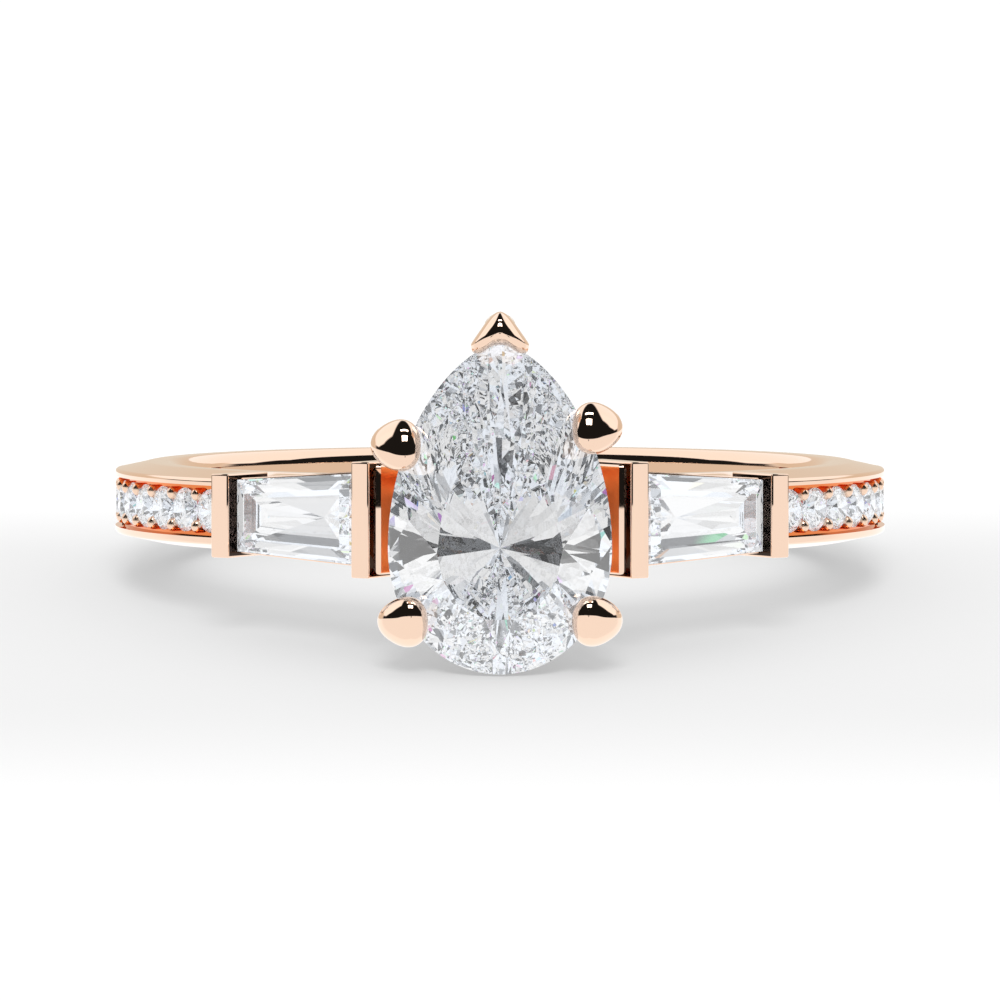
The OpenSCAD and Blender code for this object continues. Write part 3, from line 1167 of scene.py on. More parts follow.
@dataclass
class SideSetting:
    """One tapered baguette with its two bars, its box and its cheek.

    Attributes:
        frame: The sloped line that all of it follows.
        length: Of the baguette.
        half_out: Half the baguette's width at its outer end.
        half_in: The same beside the pear.
        bar_t: Thickness of the bars.
        outer_bar_half: Half the height of the outer bar along the finger.
        outer_bar_rise: How far it stands over the girdle.
        inner_bar_half: Half the height of the inner bar along the finger.
        inner_bar_rise: How far it stands over the girdle.
        bar_edge: Rounding of the bars.
        flat_face: Square millimetres from which a bar's face is shaded flat.
        crown: Height of the baguette's table over its girdle.
        girdle: Height of its upright edge.
        table_in: How far the table lies inside the outline.
        step_in: The same for the step half way up the crown.
        step_share: Height of that step, as a share of the crown.
        step_down: Depth of the step below the girdle.
        step_under: How far that step lies inside the outline.
        keel_out: Distance and depth of the keel's outer end.
        keel_in: The same for its inner end, measured from the stone's inner end.
        base_r: Radius on which bars, box and cheek stand.
        wall: Thickness of the box.
        lip: How far the box stands out past the stone.
        box_top: Height of the box's rim.
        box_edge: Rounding of the box.
        gap: Air at both ends of the stone.
        room: How much larger than the stone the room for it is, as a share.
        ledge: Width of the ledge between the inner bar and the cheek's hollow.
        cheek_half: Half the height of the cheek along the finger.
        cheek_lip: Rounding of its two lips.
        cheek_down: How far its outer edge lies below the top of the inner bar.
        cheek_x: Where the cheek meets the basket, across.
        cheek_y: The same, in front of the finger hole's axis.
        hollow: Depth of the cheek's hollow.
    """

    frame: SideFrame
    length: float = 3.63
    half_out: float = 0.90
    half_in: float = 1.14
    bar_t: float = 0.53
    outer_bar_half: float = 1.055
    outer_bar_rise: float = 0.43
    inner_bar_half: float = 1.445
    inner_bar_rise: float = 0.35
    bar_edge: float = 0.045
    flat_face: float = 0.2
    crown: float = 0.3
    girdle: float = 0.04
    table_in: float = 0.36
    step_in: float = 0.15
    step_share: float = 0.55
    step_down: float = 0.3
    step_under: float = 0.24
    keel_out: Flat = (0.9, 0.87)
    keel_in: Flat = (1.14, 1.08)
    base_r: float = BASE_R
    wall: float = 0.3
    lip: float = 0.04
    box_top: float = -0.01
    box_edge: float = 0.03
    gap: float = 0.012
    room: float = 0.012
    ledge: float = 0.13
    cheek_half: float = 1.365
    cheek_lip: float = 0.1
    cheek_down: float = 0.33
    cheek_x: float = 1.75
    cheek_y: float = 10.5
    hollow: float = 0.3

    def half_at(self, x: float) -> float:
        """Half the stone's width at one distance along it."""
        return self.half_out + (self.half_in - self.half_out) * -x / self.length

    def build(self, jeweller: Jeweller) -> None:
        """Makes every piece of this side.

        Args:
            jeweller: Fits the pieces.
        """
        self.bar(jeweller, "outer_bar", 0.0, self.outer_bar_half, self.outer_bar_rise)
        self.bar(jeweller, "inner_bar", -self.length - self.bar_t, self.inner_bar_half, self.inner_bar_rise)
        stone = self.stone(jeweller)
        self.box(jeweller, stone)
        self.cheek(jeweller)

    def bar(self, jeweller: Jeweller, node: str, start: float, half: float, rise: float) -> None:
        """Makes one upright bar.

        Args:
            jeweller: Fits the piece.
            node: First part of the CAD node's name.
            start: Where the bar begins along the baguette.
            half: Half its height along the finger.
            rise: How far it stands over the girdle.
        """
        word = self.frame.side.word
        end = start + self.bar_t
        corners = [(start, rise), (end, rise)] + [(x, self.frame.foot(x, self.base_r)) for x in (end, start)]
        blank = Blank()
        blank.loft([[self.frame.at(x, h, z) for x, h in corners] for z in (-half, half)])
        bar = blank.piece(f"bar_{node.split('_')[0]}_{word}")
        Bench.ease(bar, self.bar_edge)
        Bench.polish(bar, 60.0, self.flat_face)
        self.darken_inner_face(bar)
        jeweller.fit(bar, Slot.GOLD, [f"{node}_{word}"], jeweller.gold, jeweller.dark_reflection_gold)

    def darken_inner_face(self, bar: bpy.types.Object) -> None:
        """Marks the bar's flat face that looks towards the pear for the near-black painted dark reflection.

        Args:
            bar: The bar.
        """
        towards = Vector((-self.frame.side.value * self.frame.cos, -self.frame.sin, 0.0))
        for face in bar.data.polygons:
            face.material_index = 1 if face.normal.dot(towards) > 0.995 else 0

    def stone(self, jeweller: Jeweller) -> Blank:
        """Cuts the baguette in steps down to a keel.

        Args:
            jeweller: Fits the piece.

        Returns:
            The stone's shape.
        """
        levels = (
            (self.crown, self.table_in),
            (self.crown * self.step_share, self.step_in),
            (self.girdle, 0.0),
            (0.0, 0.0),
            (-self.step_down, self.step_under),
        )
        cloud = bmesh.new()
        for h, inset in levels:
            for x in (-inset - self.gap, -self.length + inset + self.gap):
                half = self.half_at(x) - inset
                for z in (-half, half):
                    cloud.verts.new(self.frame.at(x, h, z))
        (out_x, out_depth), (in_x, in_depth) = self.keel_out, self.keel_in
        cloud.verts.new(self.frame.at(-out_x, -out_depth, 0.0))
        cloud.verts.new(self.frame.at(in_x - self.length, -in_depth, 0.0))
        hull = bmesh.ops.convex_hull(cloud, input=cloud.verts[:])
        spare = [v for v in hull["geom_interior"] if isinstance(v, bmesh.types.BMVert)]
        bmesh.ops.delete(cloud, geom=spare, context="VERTS")
        bmesh.ops.dissolve_limit(
            cloud, angle_limit=math.radians(0.6), verts=cloud.verts[:], edges=cloud.edges[:])
        cloud.verts.index_update()
        blank = Blank()
        blank.add([tuple(v.co) for v in cloud.verts], [[v.index for v in f.verts] for f in cloud.faces])
        cloud.free()
        word = self.frame.side.word
        jeweller.fit(blank.piece(f"tapered_{word}"), Slot.SIDES, [f"baguette_{word}"], jeweller.sides)
        return blank

    def box(self, jeweller: Jeweller, stone: Blank) -> None:
        """Makes the open box that carries the baguette.

        Args:
            jeweller: Fits the piece.
            stone: Shape of the stone, which is cleared out of the walls.
        """
        outer, inner = [], []
        for x, z_sign in ((0.0, -1), (0.0, 1), (-self.length, 1), (-self.length, -1)):
            half = self.half_at(x) + self.lip
            outer.append((x, z_sign * half))
            inset = self.wall if x == 0.0 else -self.wall
            inner.append((x - inset, z_sign * (self.half_at(x - inset) + self.lip - self.wall)))
        blank = Blank()
        blank.loft([
            [self.frame.at(x, self.frame.foot(x, self.base_r), z) for x, z in outer],
            [self.frame.at(x, self.box_top, z) for x, z in outer],
            [self.frame.at(x, self.box_top, z) for x, z in inner],
            [self.frame.at(x, self.frame.foot(x, self.base_r), z) for x, z in inner],
        ], closed=True)
        word = self.frame.side.word
        box = blank.piece(f"box_{word}")
        Bench.ease(box, self.box_edge, 2)
        Bench.saw(box, stone.swollen(self.room).piece("room"))
        Bench.polish(box, 60.0)
        jeweller.fit(box, Slot.GOLD, [f"baguette_box_{word}"], jeweller.gold)

    def cheek(self, jeweller: Jeweller) -> None:
        """Makes the concave cheek between the inner bar and the basket; its hollow face is painted bright
        orange, a painted reflection of light bounced between gold surfaces.

        Args:
            jeweller: Fits the piece.
        """
        side = self.frame.side
        start = -self.length - self.bar_t
        outer = self.frame.at(start, self.inner_bar_rise - self.cheek_down, 0.0)
        ledge = (outer[0] - side.value * self.ledge, outer[1])
        foot = self.frame.at(start, self.frame.foot(start, self.base_r), 0.0)
        inner_x = side.value * self.cheek_x
        outline = [outer[:2]]
        for share in spread(0.0, 1.0, 16):
            outline.append((
                ledge[0] + (inner_x - ledge[0]) * share,
                ledge[1] - (self.cheek_y + ledge[1]) * share + self.hollow * math.sin(math.pi * share)))
        fronts = len(outline)
        first = math.degrees(math.asin(self.cheek_x / self.base_r))
        last = math.degrees(math.atan2(abs(foot[0]), -foot[1]))
        for angle in spread(first, last, 6):
            outline.append(polar(self.base_r, side.value * angle, 0.0)[:2])
        rings = []
        for turn in (-90.0, -70.0, -50.0, -30.0, 0.0, 0.1, 30.0, 50.0, 70.0, 90.0):
            inwards, up = wave(turn)
            z = math.copysign(self.cheek_half - self.cheek_lip, turn if turn else -1.0) + self.cheek_lip * up
            back = self.cheek_lip * (1 - inwards)
            rings.append([(x, y + (back if n < fronts else 0.0), z) for n, (x, y) in enumerate(outline)])
        blank = Blank()
        blank.loft(rings)
        cheek = blank.piece(f"cheek_side_{side.word}")
        Bench.polish(cheek, 35.0)
        # Lips and ledge keep plain gold; the hollow face takes the bright orange painted reflection.
        for face in cheek.data.polygons:
            on_ledge = abs(face.center.x) > (abs(ledge[0]) - 0.02) * MM and face.normal.y < -0.7
            face.material_index = 1 if on_ledge or abs(face.normal.z) > 0.3 else 0
        jeweller.fit(cheek, Slot.GOLD, [f"cheek_{side.word}"], jeweller.cheek_gold, jeweller.gold)


@dataclass
class Pear:
    """The pear outline and its brilliant.

    Attributes:
        half_width: Half the stone's width.
        belly: Length of the round end, from the widest place.
        point: Length from there to the point.
        centre_z: Height of the widest place along the finger.
        fullness: Power of the shoulders; less is fuller.
        girdle_y: How far in front of the finger hole's axis the girdle lies.
        crown_mains: Main facets of the crown.
        crown_start: Where the first of them sits, in steps between facets.
        crown_drift: How far they stray from even steps.
        pavilion_mains: Main facets of the pavilion.
        pavilion_start: Where the first of them sits, in steps between facets.
        pavilion_drift: How far they stray from even steps.
        smooth: Sides of the girdle.
    """

    half_width: float = 2.75
    belly: float = 3.08
    point: float = 5.05
    centre_z: float = -0.62
    fullness: float = 0.63
    girdle_y: float = 13.045
    crown_mains: int = 14
    crown_start: float = 0.5
    crown_drift: float = 0.12
    pavilion_mains: int = 18
    pavilion_start: float = 0.3
    pavilion_drift: float = 0.16
    smooth: int = 160

    def outline(self, way: float) -> Flat:
        """Point of the outline, about the centre of the belly.

        Args:
            way: Distance round it: 0 at the round end, 1 at the right of the belly, 2 at the point
                and 3 at the left of the belly.

        Returns:
            The point.
        """
        way %= 4.0
        mirror = 1.0 if way <= 2.0 else -1.0
        step = way - 1.0 if way <= 2.0 else 3.0 - way
        turn = math.radians(90.0 * step)
        if step < 0:
            return (mirror * self.half_width * math.cos(turn), self.belly * math.sin(turn))
        return (mirror * self.half_width * math.cos(turn) ** (2 * self.fullness), self.point * math.sin(turn))

    def place(self, point: Vector) -> Point:
        """Moves a point from the stone's space to the ring's."""
        return (point[0], -self.girdle_y - point[2], self.centre_z + point[1])

    def build(self, jeweller: Jeweller) -> Blank:
        """Cuts the stone.

        Args:
            jeweller: Fits the piece.

        Returns:
            The stone's shape.
        """
        cut = Brilliant(table=0.56, crown=0.815, girdle=0.09, pavilion=2.33, star=0.45, lower=0.8)
        crown = [
            4.0 * (n + self.crown_start + self.crown_drift * math.sin(5.1 * n)) / self.crown_mains
            for n in range(self.crown_mains)]
        pavilion = [
            4.0 * (n + self.pavilion_start + self.pavilion_drift * math.sin(3.7 * n)) / self.pavilion_mains
            for n in range(self.pavilion_mains)]
        shape = cut.cut(self.outline, crown, pavilion, 4.0, self.smooth).lift(self.place)
        jeweller.fit(shape.piece("pear"), Slot.CENTRE, ["centre_stone"], jeweller.centre)
        return shape


@dataclass
class Basket:
    """The saddle, the two loops and the five claws that hold the pear.

    Attributes:
        pear: The stone.
        room: Its shape, a little swollen, which is sawn out of the metal.
        base_top: How far in front of the finger hole's axis the saddle ends.
        saddle_edge: Rounding of the saddle.
        wire: Radius of a claw's wire.
        neck: Where a claw starts to thicken, in front of the axis.
        belt: Where its tip is broadest.
        crest: Where it ends.
        foot_scale: Where its foot stands, as a share of the way from the stone's middle to its tip.
        claw_r: Radius of a round claw's tip.
        lobe: How far the tip's outline swells in three places.
        cap_power: Roundness of the caps.
        upper_tilt: Slope of the upper claws' tips.
        lower_tilt: The same for the lower ones.
        point_z: Height of the folded claw's middle along the finger.
        point_tilt: Slope of its tip.
        point_power: Roundness of its cap across the finger hole.
    """

    pear: Pear
    room: Blank
    base_top: float = 10.3
    saddle_edge: float = 0.06
    wire: float = 0.42
    neck: float = 12.5
    belt: float = 13.3
    crest: float = 13.95
    foot_scale: float = 0.58
    claw_r: float = 0.625
    lobe: float = 0.035
    cap_power: float = 0.92
    upper_tilt: float = 0.5
    lower_tilt: float = 0.36
    point_z: float = 4.74
    point_tilt: float = 0.15
    point_power: float = 0.6

    def build(self, jeweller: Jeweller) -> None:
        """Makes every piece of the basket.

        Args:
            jeweller: Fits the pieces.
        """
        self.saddle(jeweller)
        self.loop(jeweller, "lower_gallery", low=10.3, high=10.8, outer=0.62, inner=0.44)
        self.loop(jeweller, "upper_gallery", low=12.2, high=12.65, outer=0.97, inner=0.85)
        self.round_claw(jeweller, "claw_upper_left", (-2.52, 1.94), self.upper_tilt)
        self.round_claw(jeweller, "claw_upper_right", (2.35, 2.36), self.upper_tilt)
        self.round_claw(jeweller, "claw_lower_left", (-2.35, -2.39), self.lower_tilt)
        self.round_claw(jeweller, "claw_lower_right", (2.35, -2.37), self.lower_tilt)
        self.point_claw(jeweller)

    def saddle(self, jeweller: Jeweller) -> None:
        """Makes the saddle on the band.

        Args:
            jeweller: Fits the piece.
        """
        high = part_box("head_base")[1]
        reach, half = high.x / MM, high.z / MM
        edge = math.degrees(math.asin(reach / BASE_R))
        outline = [(-reach, -self.base_top), (reach, -self.base_top)]
        outline += [polar(BASE_R, angle, 0.0)[:2] for angle in spread(edge, -edge, 8)]
        blank = Blank()
        blank.loft([[(x, y, z) for x, y in outline] for z in (-half, half)])
        saddle = blank.piece("saddle")
        Bench.ease(saddle, self.saddle_edge)
        Bench.polish(saddle)
        jeweller.fit(saddle, Slot.GOLD, ["head_base"], jeweller.gold)

    def loop(
        self, jeweller: Jeweller, node: str, low: float, high: float, outer: float, inner: float
    ) -> None:
        """Makes one loop that follows the stone's outline.

        Args:
            jeweller: Fits the piece.
            node: The CAD node.
            low: Distance of its back from the finger hole's axis.
            high: Distance of its front.
            outer: Scale of its outside.
            inner: Scale of its inside.
        """
        rings = []
        for n in range(120):
            x, z = self.pear.outline(4.0 * n / 120)
            ring = []
            for turn in turns(16):
                wide, deep = (math.copysign(abs(v) ** 0.6, v) for v in (math.cos(turn), math.sin(turn)))
                scale = (outer + inner) / 2 + (outer - inner) / 2 * wide
                y = (low + high) / 2 + (high - low) / 2 * deep
                ring.append((x * scale, -y, self.pear.centre_z + z * scale))
            rings.append(ring)
        self.close(jeweller, node, f"{node}_wire", rings, closed=True)

    def close(
        self, jeweller: Jeweller, node: str, name: str, rings: list[list[Point]], closed: bool = False
    ) -> None:
        """Closes a loop or a claw, and saws the room for the stone out of it.

        Args:
            jeweller: Fits the piece.
            node: The CAD node.
            name: Name of the piece.
            rings: Its rings of points.
            closed: Whether the last ring joins the first.
        """
        blank = Blank()
        blank.loft(rings, closed)
        piece = blank.piece(name)
        Bench.saw(piece, self.room.piece("room"))
        Bench.polish(piece, 60.0)
        jeweller.fit(piece, Slot.GOLD, [node], jeweller.gold)

    def claw_rings(self, top: Flat, rim: list[Flat], tilt: float, power: float) -> list[list[Point]]:
        """Rings of one claw, from its foot to its crest.

        Args:
            top: Centre of the claw's tip, across and along the finger.
            rim: Outline of the tip about its centre.
            tilt: Slope of the tip, which rises towards the middle of the stone.
            power: Roundness of the cap across the finger hole; less is broader.

        Returns:
            The rings.
        """
        cz = self.pear.centre_z
        foot = (top[0] * self.foot_scale, cz + (top[1] - cz) * self.foot_scale)
        reach = math.hypot(top[0], top[1] - cz)
        inwards = (-top[0] / reach, (cz - top[1]) / reach)
        levels: list[tuple[float, float, float, float]] = []
        for share in spread(0.0, 1.0, 6):
            levels.append((self.base_top + (self.neck - self.base_top) * share, share, 0.0, 0.0))
        for share in spread(0.15, 1.0, 6):
            ease = share * share * (3 - 2 * share)
            levels.append((self.neck + (self.belt - self.neck) * share, 1.0, ease, 0.0))
        for turn in spread(7.0, 88.0, 14):
            wide, up = wave(turn)
            levels.append((self.belt + (self.crest - self.belt) * up, 1.0, wide ** self.cap_power, up))
        rings = []
        for y, out, full, rise in levels:
            mx = foot[0] + (top[0] - foot[0]) * out
            mz = foot[1] + (top[1] - foot[1]) * out
            ring = []
            for dx, dz in rim:
                reach = math.hypot(dx, dz)
                scale = full if rise else (self.wire + (reach - self.wire) * full) / reach
                climb = tilt * scale * (dx * inwards[0] + dz * inwards[1]) * (1.0 if rise else full)
                across = full ** (power / self.cap_power) if rise else scale
                ring.append((mx + dx * across, -y - climb, mz + dz * scale))
            rings.append(ring)
        return rings

    def round_claw(self, jeweller: Jeweller, node: str, top: Flat, tilt: float) -> None:
        """Makes one claw with a fat rounded tip.

        Args:
            jeweller: Fits the piece.
            node: The CAD node.
            top: Centre of its tip.
            tilt: Slope of its tip.
        """
        corner = math.pi if top[0] < 0 else 0.0
        rim = []
        for turn in turns(56):
            radius = self.claw_r + self.lobe * math.cos(3 * (turn - corner))
            rim.append((radius * math.cos(turn), radius * math.sin(turn)))
        rings = self.claw_rings(top, rim, tilt, self.cap_power)
        self.close(jeweller, node, node.replace("claw_", "prong_"), rings)

    def point_claw(self, jeweller: Jeweller) -> None:
        """Makes the folded claw over the pear's point.

        Args:
            jeweller: Fits the piece.
        """
        half = ((0.16, 0.47), (0.64, -0.20), (0.74, -0.36), (0.66, -0.56), (0.44, -0.55), (0.16, -0.34))
        corners = list(half) + [(-x, z) for x, z in reversed(half)]
        for _ in range(3):
            corners = [
                (a[0] + (b[0] - a[0]) * share, a[1] + (b[1] - a[1]) * share)
                for a, b in zip(corners, corners[1:] + corners[:1]) for share in (0.25, 0.75)]
        rings = self.claw_rings((0.0, self.point_z), corners, self.point_tilt, self.point_power)
        self.close(jeweller, "claw_point", "prong_point", rings)


@dataclass(frozen=True)
class Panel:
    """A small lit panel in front of the ring, in degrees: its lower edge, upper edge and half width."""

    low: float
    high: float
    half: float

    def light(self, sheet: Wiring, pitch: Signal, lateral: Signal) -> bpy.types.NodeSocket:
        """Draws the panel in the light all round.

        Args:
            sheet: The world's wiring.
            pitch: Degrees up from the front.
            lateral: Degrees out of the plane of symmetry.

        Returns:
            A socket that is 1 on the panel.
        """
        over = sheet.rise(pitch, self.low, self.low + 1.0)
        under = sheet.rise(pitch, self.high, self.high - 1.0)
        within = sheet.rise(lateral, self.half, self.half - 1.5)
        return sheet.sum("MULTIPLY", sheet.sum("MULTIPLY", over, under), within)


@dataclass
class Studio:
    """White floor, soft light and a long lens in front of the ring.

    Attributes:
        distance: Of the camera.
        rise: Degrees by which the camera looks down.
        lens: Focal length.
        aim_z: Height the camera aims at.
        floor_z: Height of the floor under the finger hole's axis.
        floor_slope: Rise of the floor towards the back of the band.
        floor_half: Half the floor's size.
        key_power: Of the key light.
        key_angle: Its apparent size in degrees.
        key_way: Direction of its light.
        fill: Brightness of the light all round on the floor.
        dark_half: Half the width of the darkness ahead that the gold mirrors, in degrees.
        dark_low: How far back that darkness reaches near the horizon, as a part along Y.
        dark_high: The same high up.
        widening: How much farther it reaches for each degree towards its middle.
        black: Brightness of the darkness.
        panels: Lit panels within it.
        panel_power: Brightness they add.
        warm_rear: Colour of the low rear.
        spot: Degrees round the front that stones see dark, and where that ends.
        fire_scale: Cells of coloured light over one unit of direction.
        fire: Strength of the coloured cells.
        card_z: Height of the card over the back of the band.
        card_x: Half its width.
        card_front: Where it starts.
        card_rear: Where it ends.
        liner_r: Radius of the liner in the finger hole.
        liner_low: Height of its lower edge.
        liner_top: Height of its upper edge.
        flag_y: How far ahead the black flag hangs.
        flag_half: Half its width.
        flag_low: Height of its lower edge.
        flag_top: Height of its upper edge.
    """

    distance: float = 170.0
    rise: float = 2.75
    lens: float = 230.4
    aim_z: float = -0.0425
    floor_z: float = -2.25
    floor_slope: float = 0.1155
    floor_half: float = 4000.0
    key_power: float = 1.7
    key_angle: float = 20.0
    key_way: Point = (0.0, 1.0, -0.62)
    fill: float = 0.7
    dark_half: float = 38.0
    dark_low: float = 0.25
    dark_high: float = -0.02
    widening: float = 0.025
    black: float = 0.012
    panels: tuple[Panel, ...] = (Panel(52.0, 74.0, 14.0), Panel(91.0, 99.0, 15.0))
    panel_power: float = 6.0
    warm_rear: Colour = (0.78, 0.68, 0.56)
    spot: Flat = (15.0, 18.0)
    fire_scale: float = 55.0
    fire: float = 0.55
    card_z: float = 6.0
    card_x: float = 7.5
    card_front: float = 5.6
    card_rear: float = 18.0
    liner_r: float = 7.4
    liner_low: float = -1.1
    liner_top: float = 0.62
    flag_y: float = 60.0
    flag_half: float = 2.0
    flag_low: float = -7.5
    flag_top: float = 0.8

    def build(self) -> None:
        """Sets up the whole studio."""
        self.camera()
        self.floor()
        self.key()
        self.cards()
        self.sky()
        scene = bpy.context.scene
        scene.view_settings.view_transform = "Standard"
        scene.view_settings.look = "None"
        scene.cycles.max_bounces = 64
        scene.cycles.transmission_bounces = 64
        scene.cycles.glossy_bounces = 64
        scene.cycles.diffuse_bounces = 3
        scene.cycles.caustics_reflective = False
        scene.cycles.caustics_refractive = False
        scene.cycles.blur_glossy = 0.0
        scene.cycles.sample_clamp_indirect = 8.0
        scene.cycles.use_denoising = True

    def camera(self) -> None:
        """Places the camera."""
        lens = bpy.data.cameras.new("camera")
        lens.lens = self.lens
        lens.sensor_width = 36.0
        lens.clip_start = 0.01
        lens.clip_end = 20.0
        camera = bpy.data.objects.new("camera", lens)
        turn = math.radians(self.rise)
        camera.location = Vector((0.0, -math.cos(turn), math.sin(turn))) * self.distance * MM
        aim = Vector((0.0, 0.0, self.aim_z * MM))
        camera.rotation_euler = (aim - camera.location).to_track_quat("-Z", "Y").to_euler()
        bpy.context.scene.collection.objects.link(camera)
        bpy.context.scene.camera = camera

    def floor(self) -> None:
        """Lays the floor just clear of the pear's round end and of the back of the band."""
        half = self.floor_half
        blank = Blank()
        blank.add(
            [(x, y, self.floor_z + self.floor_slope * y)
             for x, y in ((-half, -half), (half, -half), (half, half), (-half, half))],
            [(0, 1, 2, 3)])
        floor = blank.piece("floor")
        floor.data.materials.append(FloorFinish().make())
        floor.visible_transmission = False
        floor.visible_glossy = False

    def key(self) -> None:
        """Hangs the soft key light that lays the ring's shadow behind it."""
        light = bpy.data.lights.new("key", "SUN")
        light.energy = self.key_power
        light.angle = math.radians(self.key_angle)
        key = bpy.data.objects.new("key", light)
        key.rotation_euler = Vector(self.key_way).to_track_quat("-Z", "Y").to_euler()
        key.visible_glossy = False
        key.visible_transmission = False
        bpy.context.scene.collection.objects.link(key)

    def cards(self) -> None:
        """Hangs the cards that only mirrors see: a white one, a liner for the hole, and a black flag."""
        lit = CardFinish("lit_card", (1.15, 1.15, 1.15)).make()
        x, front, rear, z = self.card_x, self.card_front, self.card_rear, self.card_z
        self.card("card_over_back", lit, [(-x, front, z), (x, front, z), (x, rear, z), (-x, rear, z)])
        liner = Blank()
        steps = spread(0.0, 360.0, 72)
        liner.add(
            [polar(self.liner_r, angle, z) for angle in steps for z in (self.liner_low, self.liner_top)],
            [(2 * n, 2 * n + 2, 2 * n + 3, 2 * n + 1) for n in range(len(steps) - 1)])
        self.hang(liner.piece("liner"), CardFinish("liner_card", (0.80, 0.72, 0.62)).make())
        black = CardFinish("black_flag", (0.01, 0.01, 0.01)).make()
        x, y, low, top = self.flag_half, -self.flag_y, self.flag_low, self.flag_top
        self.card("flag_ahead", black, [(-x, y, low), (x, y, low), (x, y, top), (-x, y, top)])

    def card(self, name: str, finish: bpy.types.Material, corners: list[Point]) -> None:
        """Hangs one flat card.

        Args:
            name: Its name.
            finish: What it is made of.
            corners: Its corners.
        """
        blank = Blank()
        blank.add(corners, [(0, 1, 2, 3)])
        self.hang(blank.piece(name), finish)

    @staticmethod
    def hang(card: bpy.types.Object, finish: bpy.types.Material) -> None:
        """Hangs a card where only mirrors see it.

        Args:
            card: The card.
            finish: What it is made of.
        """
        card.data.materials.append(finish)
        card.visible_camera = False
        card.visible_diffuse = False
        card.visible_transmission = False
        card.visible_shadow = False

    def sky(self) -> None:
        """Wires the light all round: what the floor, the gold and the stones each see."""
        world = bpy.data.worlds.new("studio")
        bpy.context.scene.world = world
        world.use_nodes = True
        sheet = Wiring(world.node_tree)
        place = sheet.node("ShaderNodeTexCoord")
        split = sheet.node("ShaderNodeSeparateXYZ")
        sheet.feed(split.inputs[0], place.outputs["Generated"])
        x, y, z = split.outputs
        ahead = sheet.sum("MULTIPLY", y, -1.0)
        gold = self.gold_sky(
            sheet,
            lift=sheet.degrees("ARCSINE", z),
            aside=sheet.sum("ABSOLUTE", sheet.degrees("ARCTAN2", x, ahead)),
            pitch=sheet.degrees("ARCTAN2", z, ahead),
            lateral=sheet.degrees("ARCSINE", sheet.sum("ABSOLUTE", x)),
            y=y)
        stones = self.stone_sky(sheet, place.outputs["Generated"], sheet.degrees("ARCCOSINE", ahead))
        rays = sheet.node("ShaderNodeLightPath")
        colour = sheet.tint(rays.outputs["Is Transmission Ray"], gold, stones)
        colour = sheet.tint(rays.outputs["Is Diffuse Ray"], colour, (self.fill, self.fill, self.fill))
        colour = sheet.tint(rays.outputs["Is Camera Ray"], colour, (1.0, 1.0, 1.0))
        back = sheet.node("ShaderNodeBackground")
        sheet.feed(back.inputs["Color"], colour)
        out = sheet.node("ShaderNodeOutputWorld")
        sheet.feed(out.inputs["Surface"], back.outputs[0])

    def gold_sky(
        self,
        sheet: Wiring,
        lift: bpy.types.NodeSocket,
        aside: bpy.types.NodeSocket,
        pitch: bpy.types.NodeSocket,
        lateral: bpy.types.NodeSocket,
        y: bpy.types.NodeSocket,
    ) -> bpy.types.NodeSocket:
        """What polished metal reflects: darkness ahead and above, bright sides, a warm low rear.

        Args:
            sheet: The world's wiring.
            lift: Height over the horizon in degrees.
            aside: Degrees round from the front, without sign.
            pitch: Degrees up from the front, over the top and down to the rear.
            lateral: Degrees out of the ring's plane of symmetry, without sign.
            y: The direction's part along Y.

        Returns:
            The colour's socket.
        """
        sides = sheet.blend(sheet.rise(lift, 0.5, 1.5), 1.03, 0.02)
        sides = sheet.blend(sheet.rise(lift, 8.0, 12.0), sides, 1.2)
        level = sheet.blend(sheet.rise(aside, 112.0, 128.0), sides, 1.15)
        room = sheet.sum("MAXIMUM", sheet.sum("SUBTRACT", self.dark_half, lateral), 0.0)
        edge = sheet.blend(sheet.rise(lift, 5.0, 30.0), self.dark_low, self.dark_high)
        limit = sheet.sum("MULTIPLY_ADD", room, self.widening, edge)
        inside = sheet.rise(sheet.sum("SUBTRACT", limit, y), -0.05, 0.05)
        awake = sheet.sum("MULTIPLY", sheet.rise(lift, 0.5, 1.5), sheet.rise(pitch, 152.0, 146.0))
        level = sheet.blend(sheet.sum("MULTIPLY", inside, awake), level, self.black)
        for panel in self.panels:
            lit = panel.light(sheet, pitch, lateral)
            level = sheet.sum("ADD", level, sheet.sum("MULTIPLY", lit, self.panel_power))
        grey = sheet.node("ShaderNodeCombineColor")
        for socket in grey.inputs:
            sheet.feed(socket, level)
        low_rear = sheet.sum("MULTIPLY", sheet.rise(pitch, 150.0, 156.0), sheet.rise(aside, 112.0, 128.0))
        return sheet.tint(low_rear, grey.outputs[0], self.warm_rear)

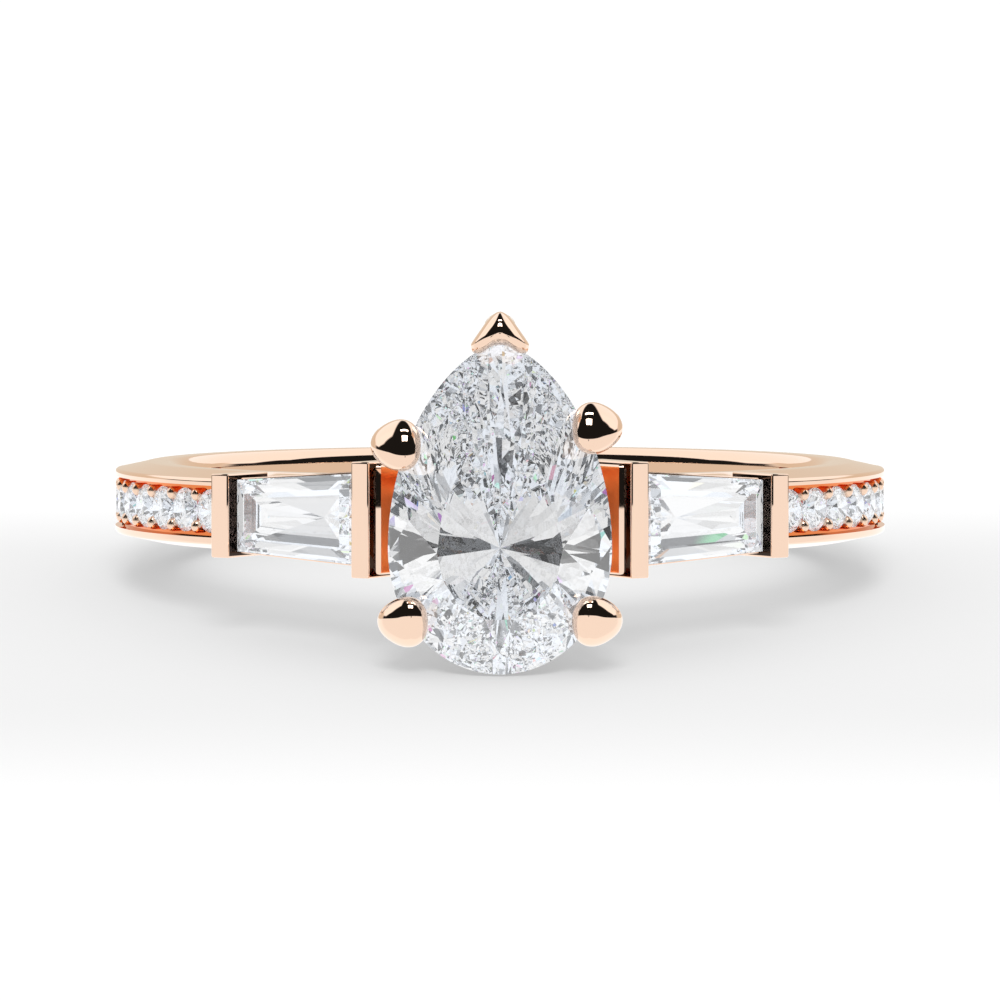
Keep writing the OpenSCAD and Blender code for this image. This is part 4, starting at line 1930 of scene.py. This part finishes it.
    def stone_sky(
        self, sheet: Wiring, way: bpy.types.NodeSocket, off: bpy.types.NodeSocket
    ) -> bpy.types.NodeSocket:
        """What light that has crossed a stone comes from.

        It is white with grey patches, a dark spot ahead and a scatter of coloured cells to the sides.

        Args:
            sheet: The world's wiring.
            way: Direction of the ray.
            off: Degrees between the ray and straight ahead.

        Returns:
            The colour's socket.
        """
        wide = sheet.rise(off, 45.0, 70.0)
        patches = sheet.node("ShaderNodeTexNoise", noise_dimensions="4D")
        patches.inputs["W"].default_value = 1.3
        sheet.feed(patches.inputs["Vector"], way)
        patches.inputs["Scale"].default_value = 5.0
        patches.inputs["Detail"].default_value = 1.0
        patch = sheet.rise(patches.outputs["Fac"], 0.42, 0.55)
        level = sheet.blend(patch, sheet.blend(wide, 0.8, 0.1), sheet.blend(wide, 0.98, 1.04))
        level = sheet.blend(sheet.rise(off, *self.spot), 0.08, level)
        grey = sheet.tint(level, (0.0, 0.0, 0.0), (1.0, 1.0, 1.0))
        cool = sheet.tint(level, (0.0, 0.0, 0.0), (1.0, 1.1, 1.25))
        grey = sheet.tint(sheet.sum("MULTIPLY", wide, 0.5), grey, cool)
        cells = sheet.node("ShaderNodeTexVoronoi")
        sheet.feed(cells.inputs["Vector"], way)
        cells.inputs["Scale"].default_value = self.fire_scale
        pick = sheet.node("ShaderNodeSeparateColor")
        sheet.feed(pick.inputs[0], cells.outputs["Color"])
        hue = sheet.node("ShaderNodeCombineColor", mode="HSV")
        sheet.feed(hue.inputs[0], pick.outputs[0])
        hue.inputs[1].default_value = 0.7
        hue.inputs[2].default_value = 1.1
        near = sheet.rise(cells.outputs["Distance"], 0.42, 0.3)
        lit = sheet.sum("MULTIPLY", near, sheet.rise(pick.outputs[1], 0.76, 0.78))
        share = sheet.sum("MULTIPLY", lit, sheet.sum("MULTIPLY", wide, self.fire))
        return sheet.tint(share, grey, hue.outputs[0])


def main() -> None:
    """Builds the ring, then the studio around it."""
    logging.basicConfig(level=logging.INFO, format="%(name)s: %(message)s")
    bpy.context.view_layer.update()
    jeweller = Jeweller()
    pave = Pave()
    Band().build(jeweller, pave.seats())
    pave.build(jeweller)
    for side in Side:
        SideSetting(SideFrame(side)).build(jeweller)
    pear = Pear()
    shape = pear.build(jeweller)
    Basket(pear, shape.swollen(0.006)).build(jeweller)
    Studio().build()
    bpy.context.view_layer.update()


if __name__ == "__main__":
    main()
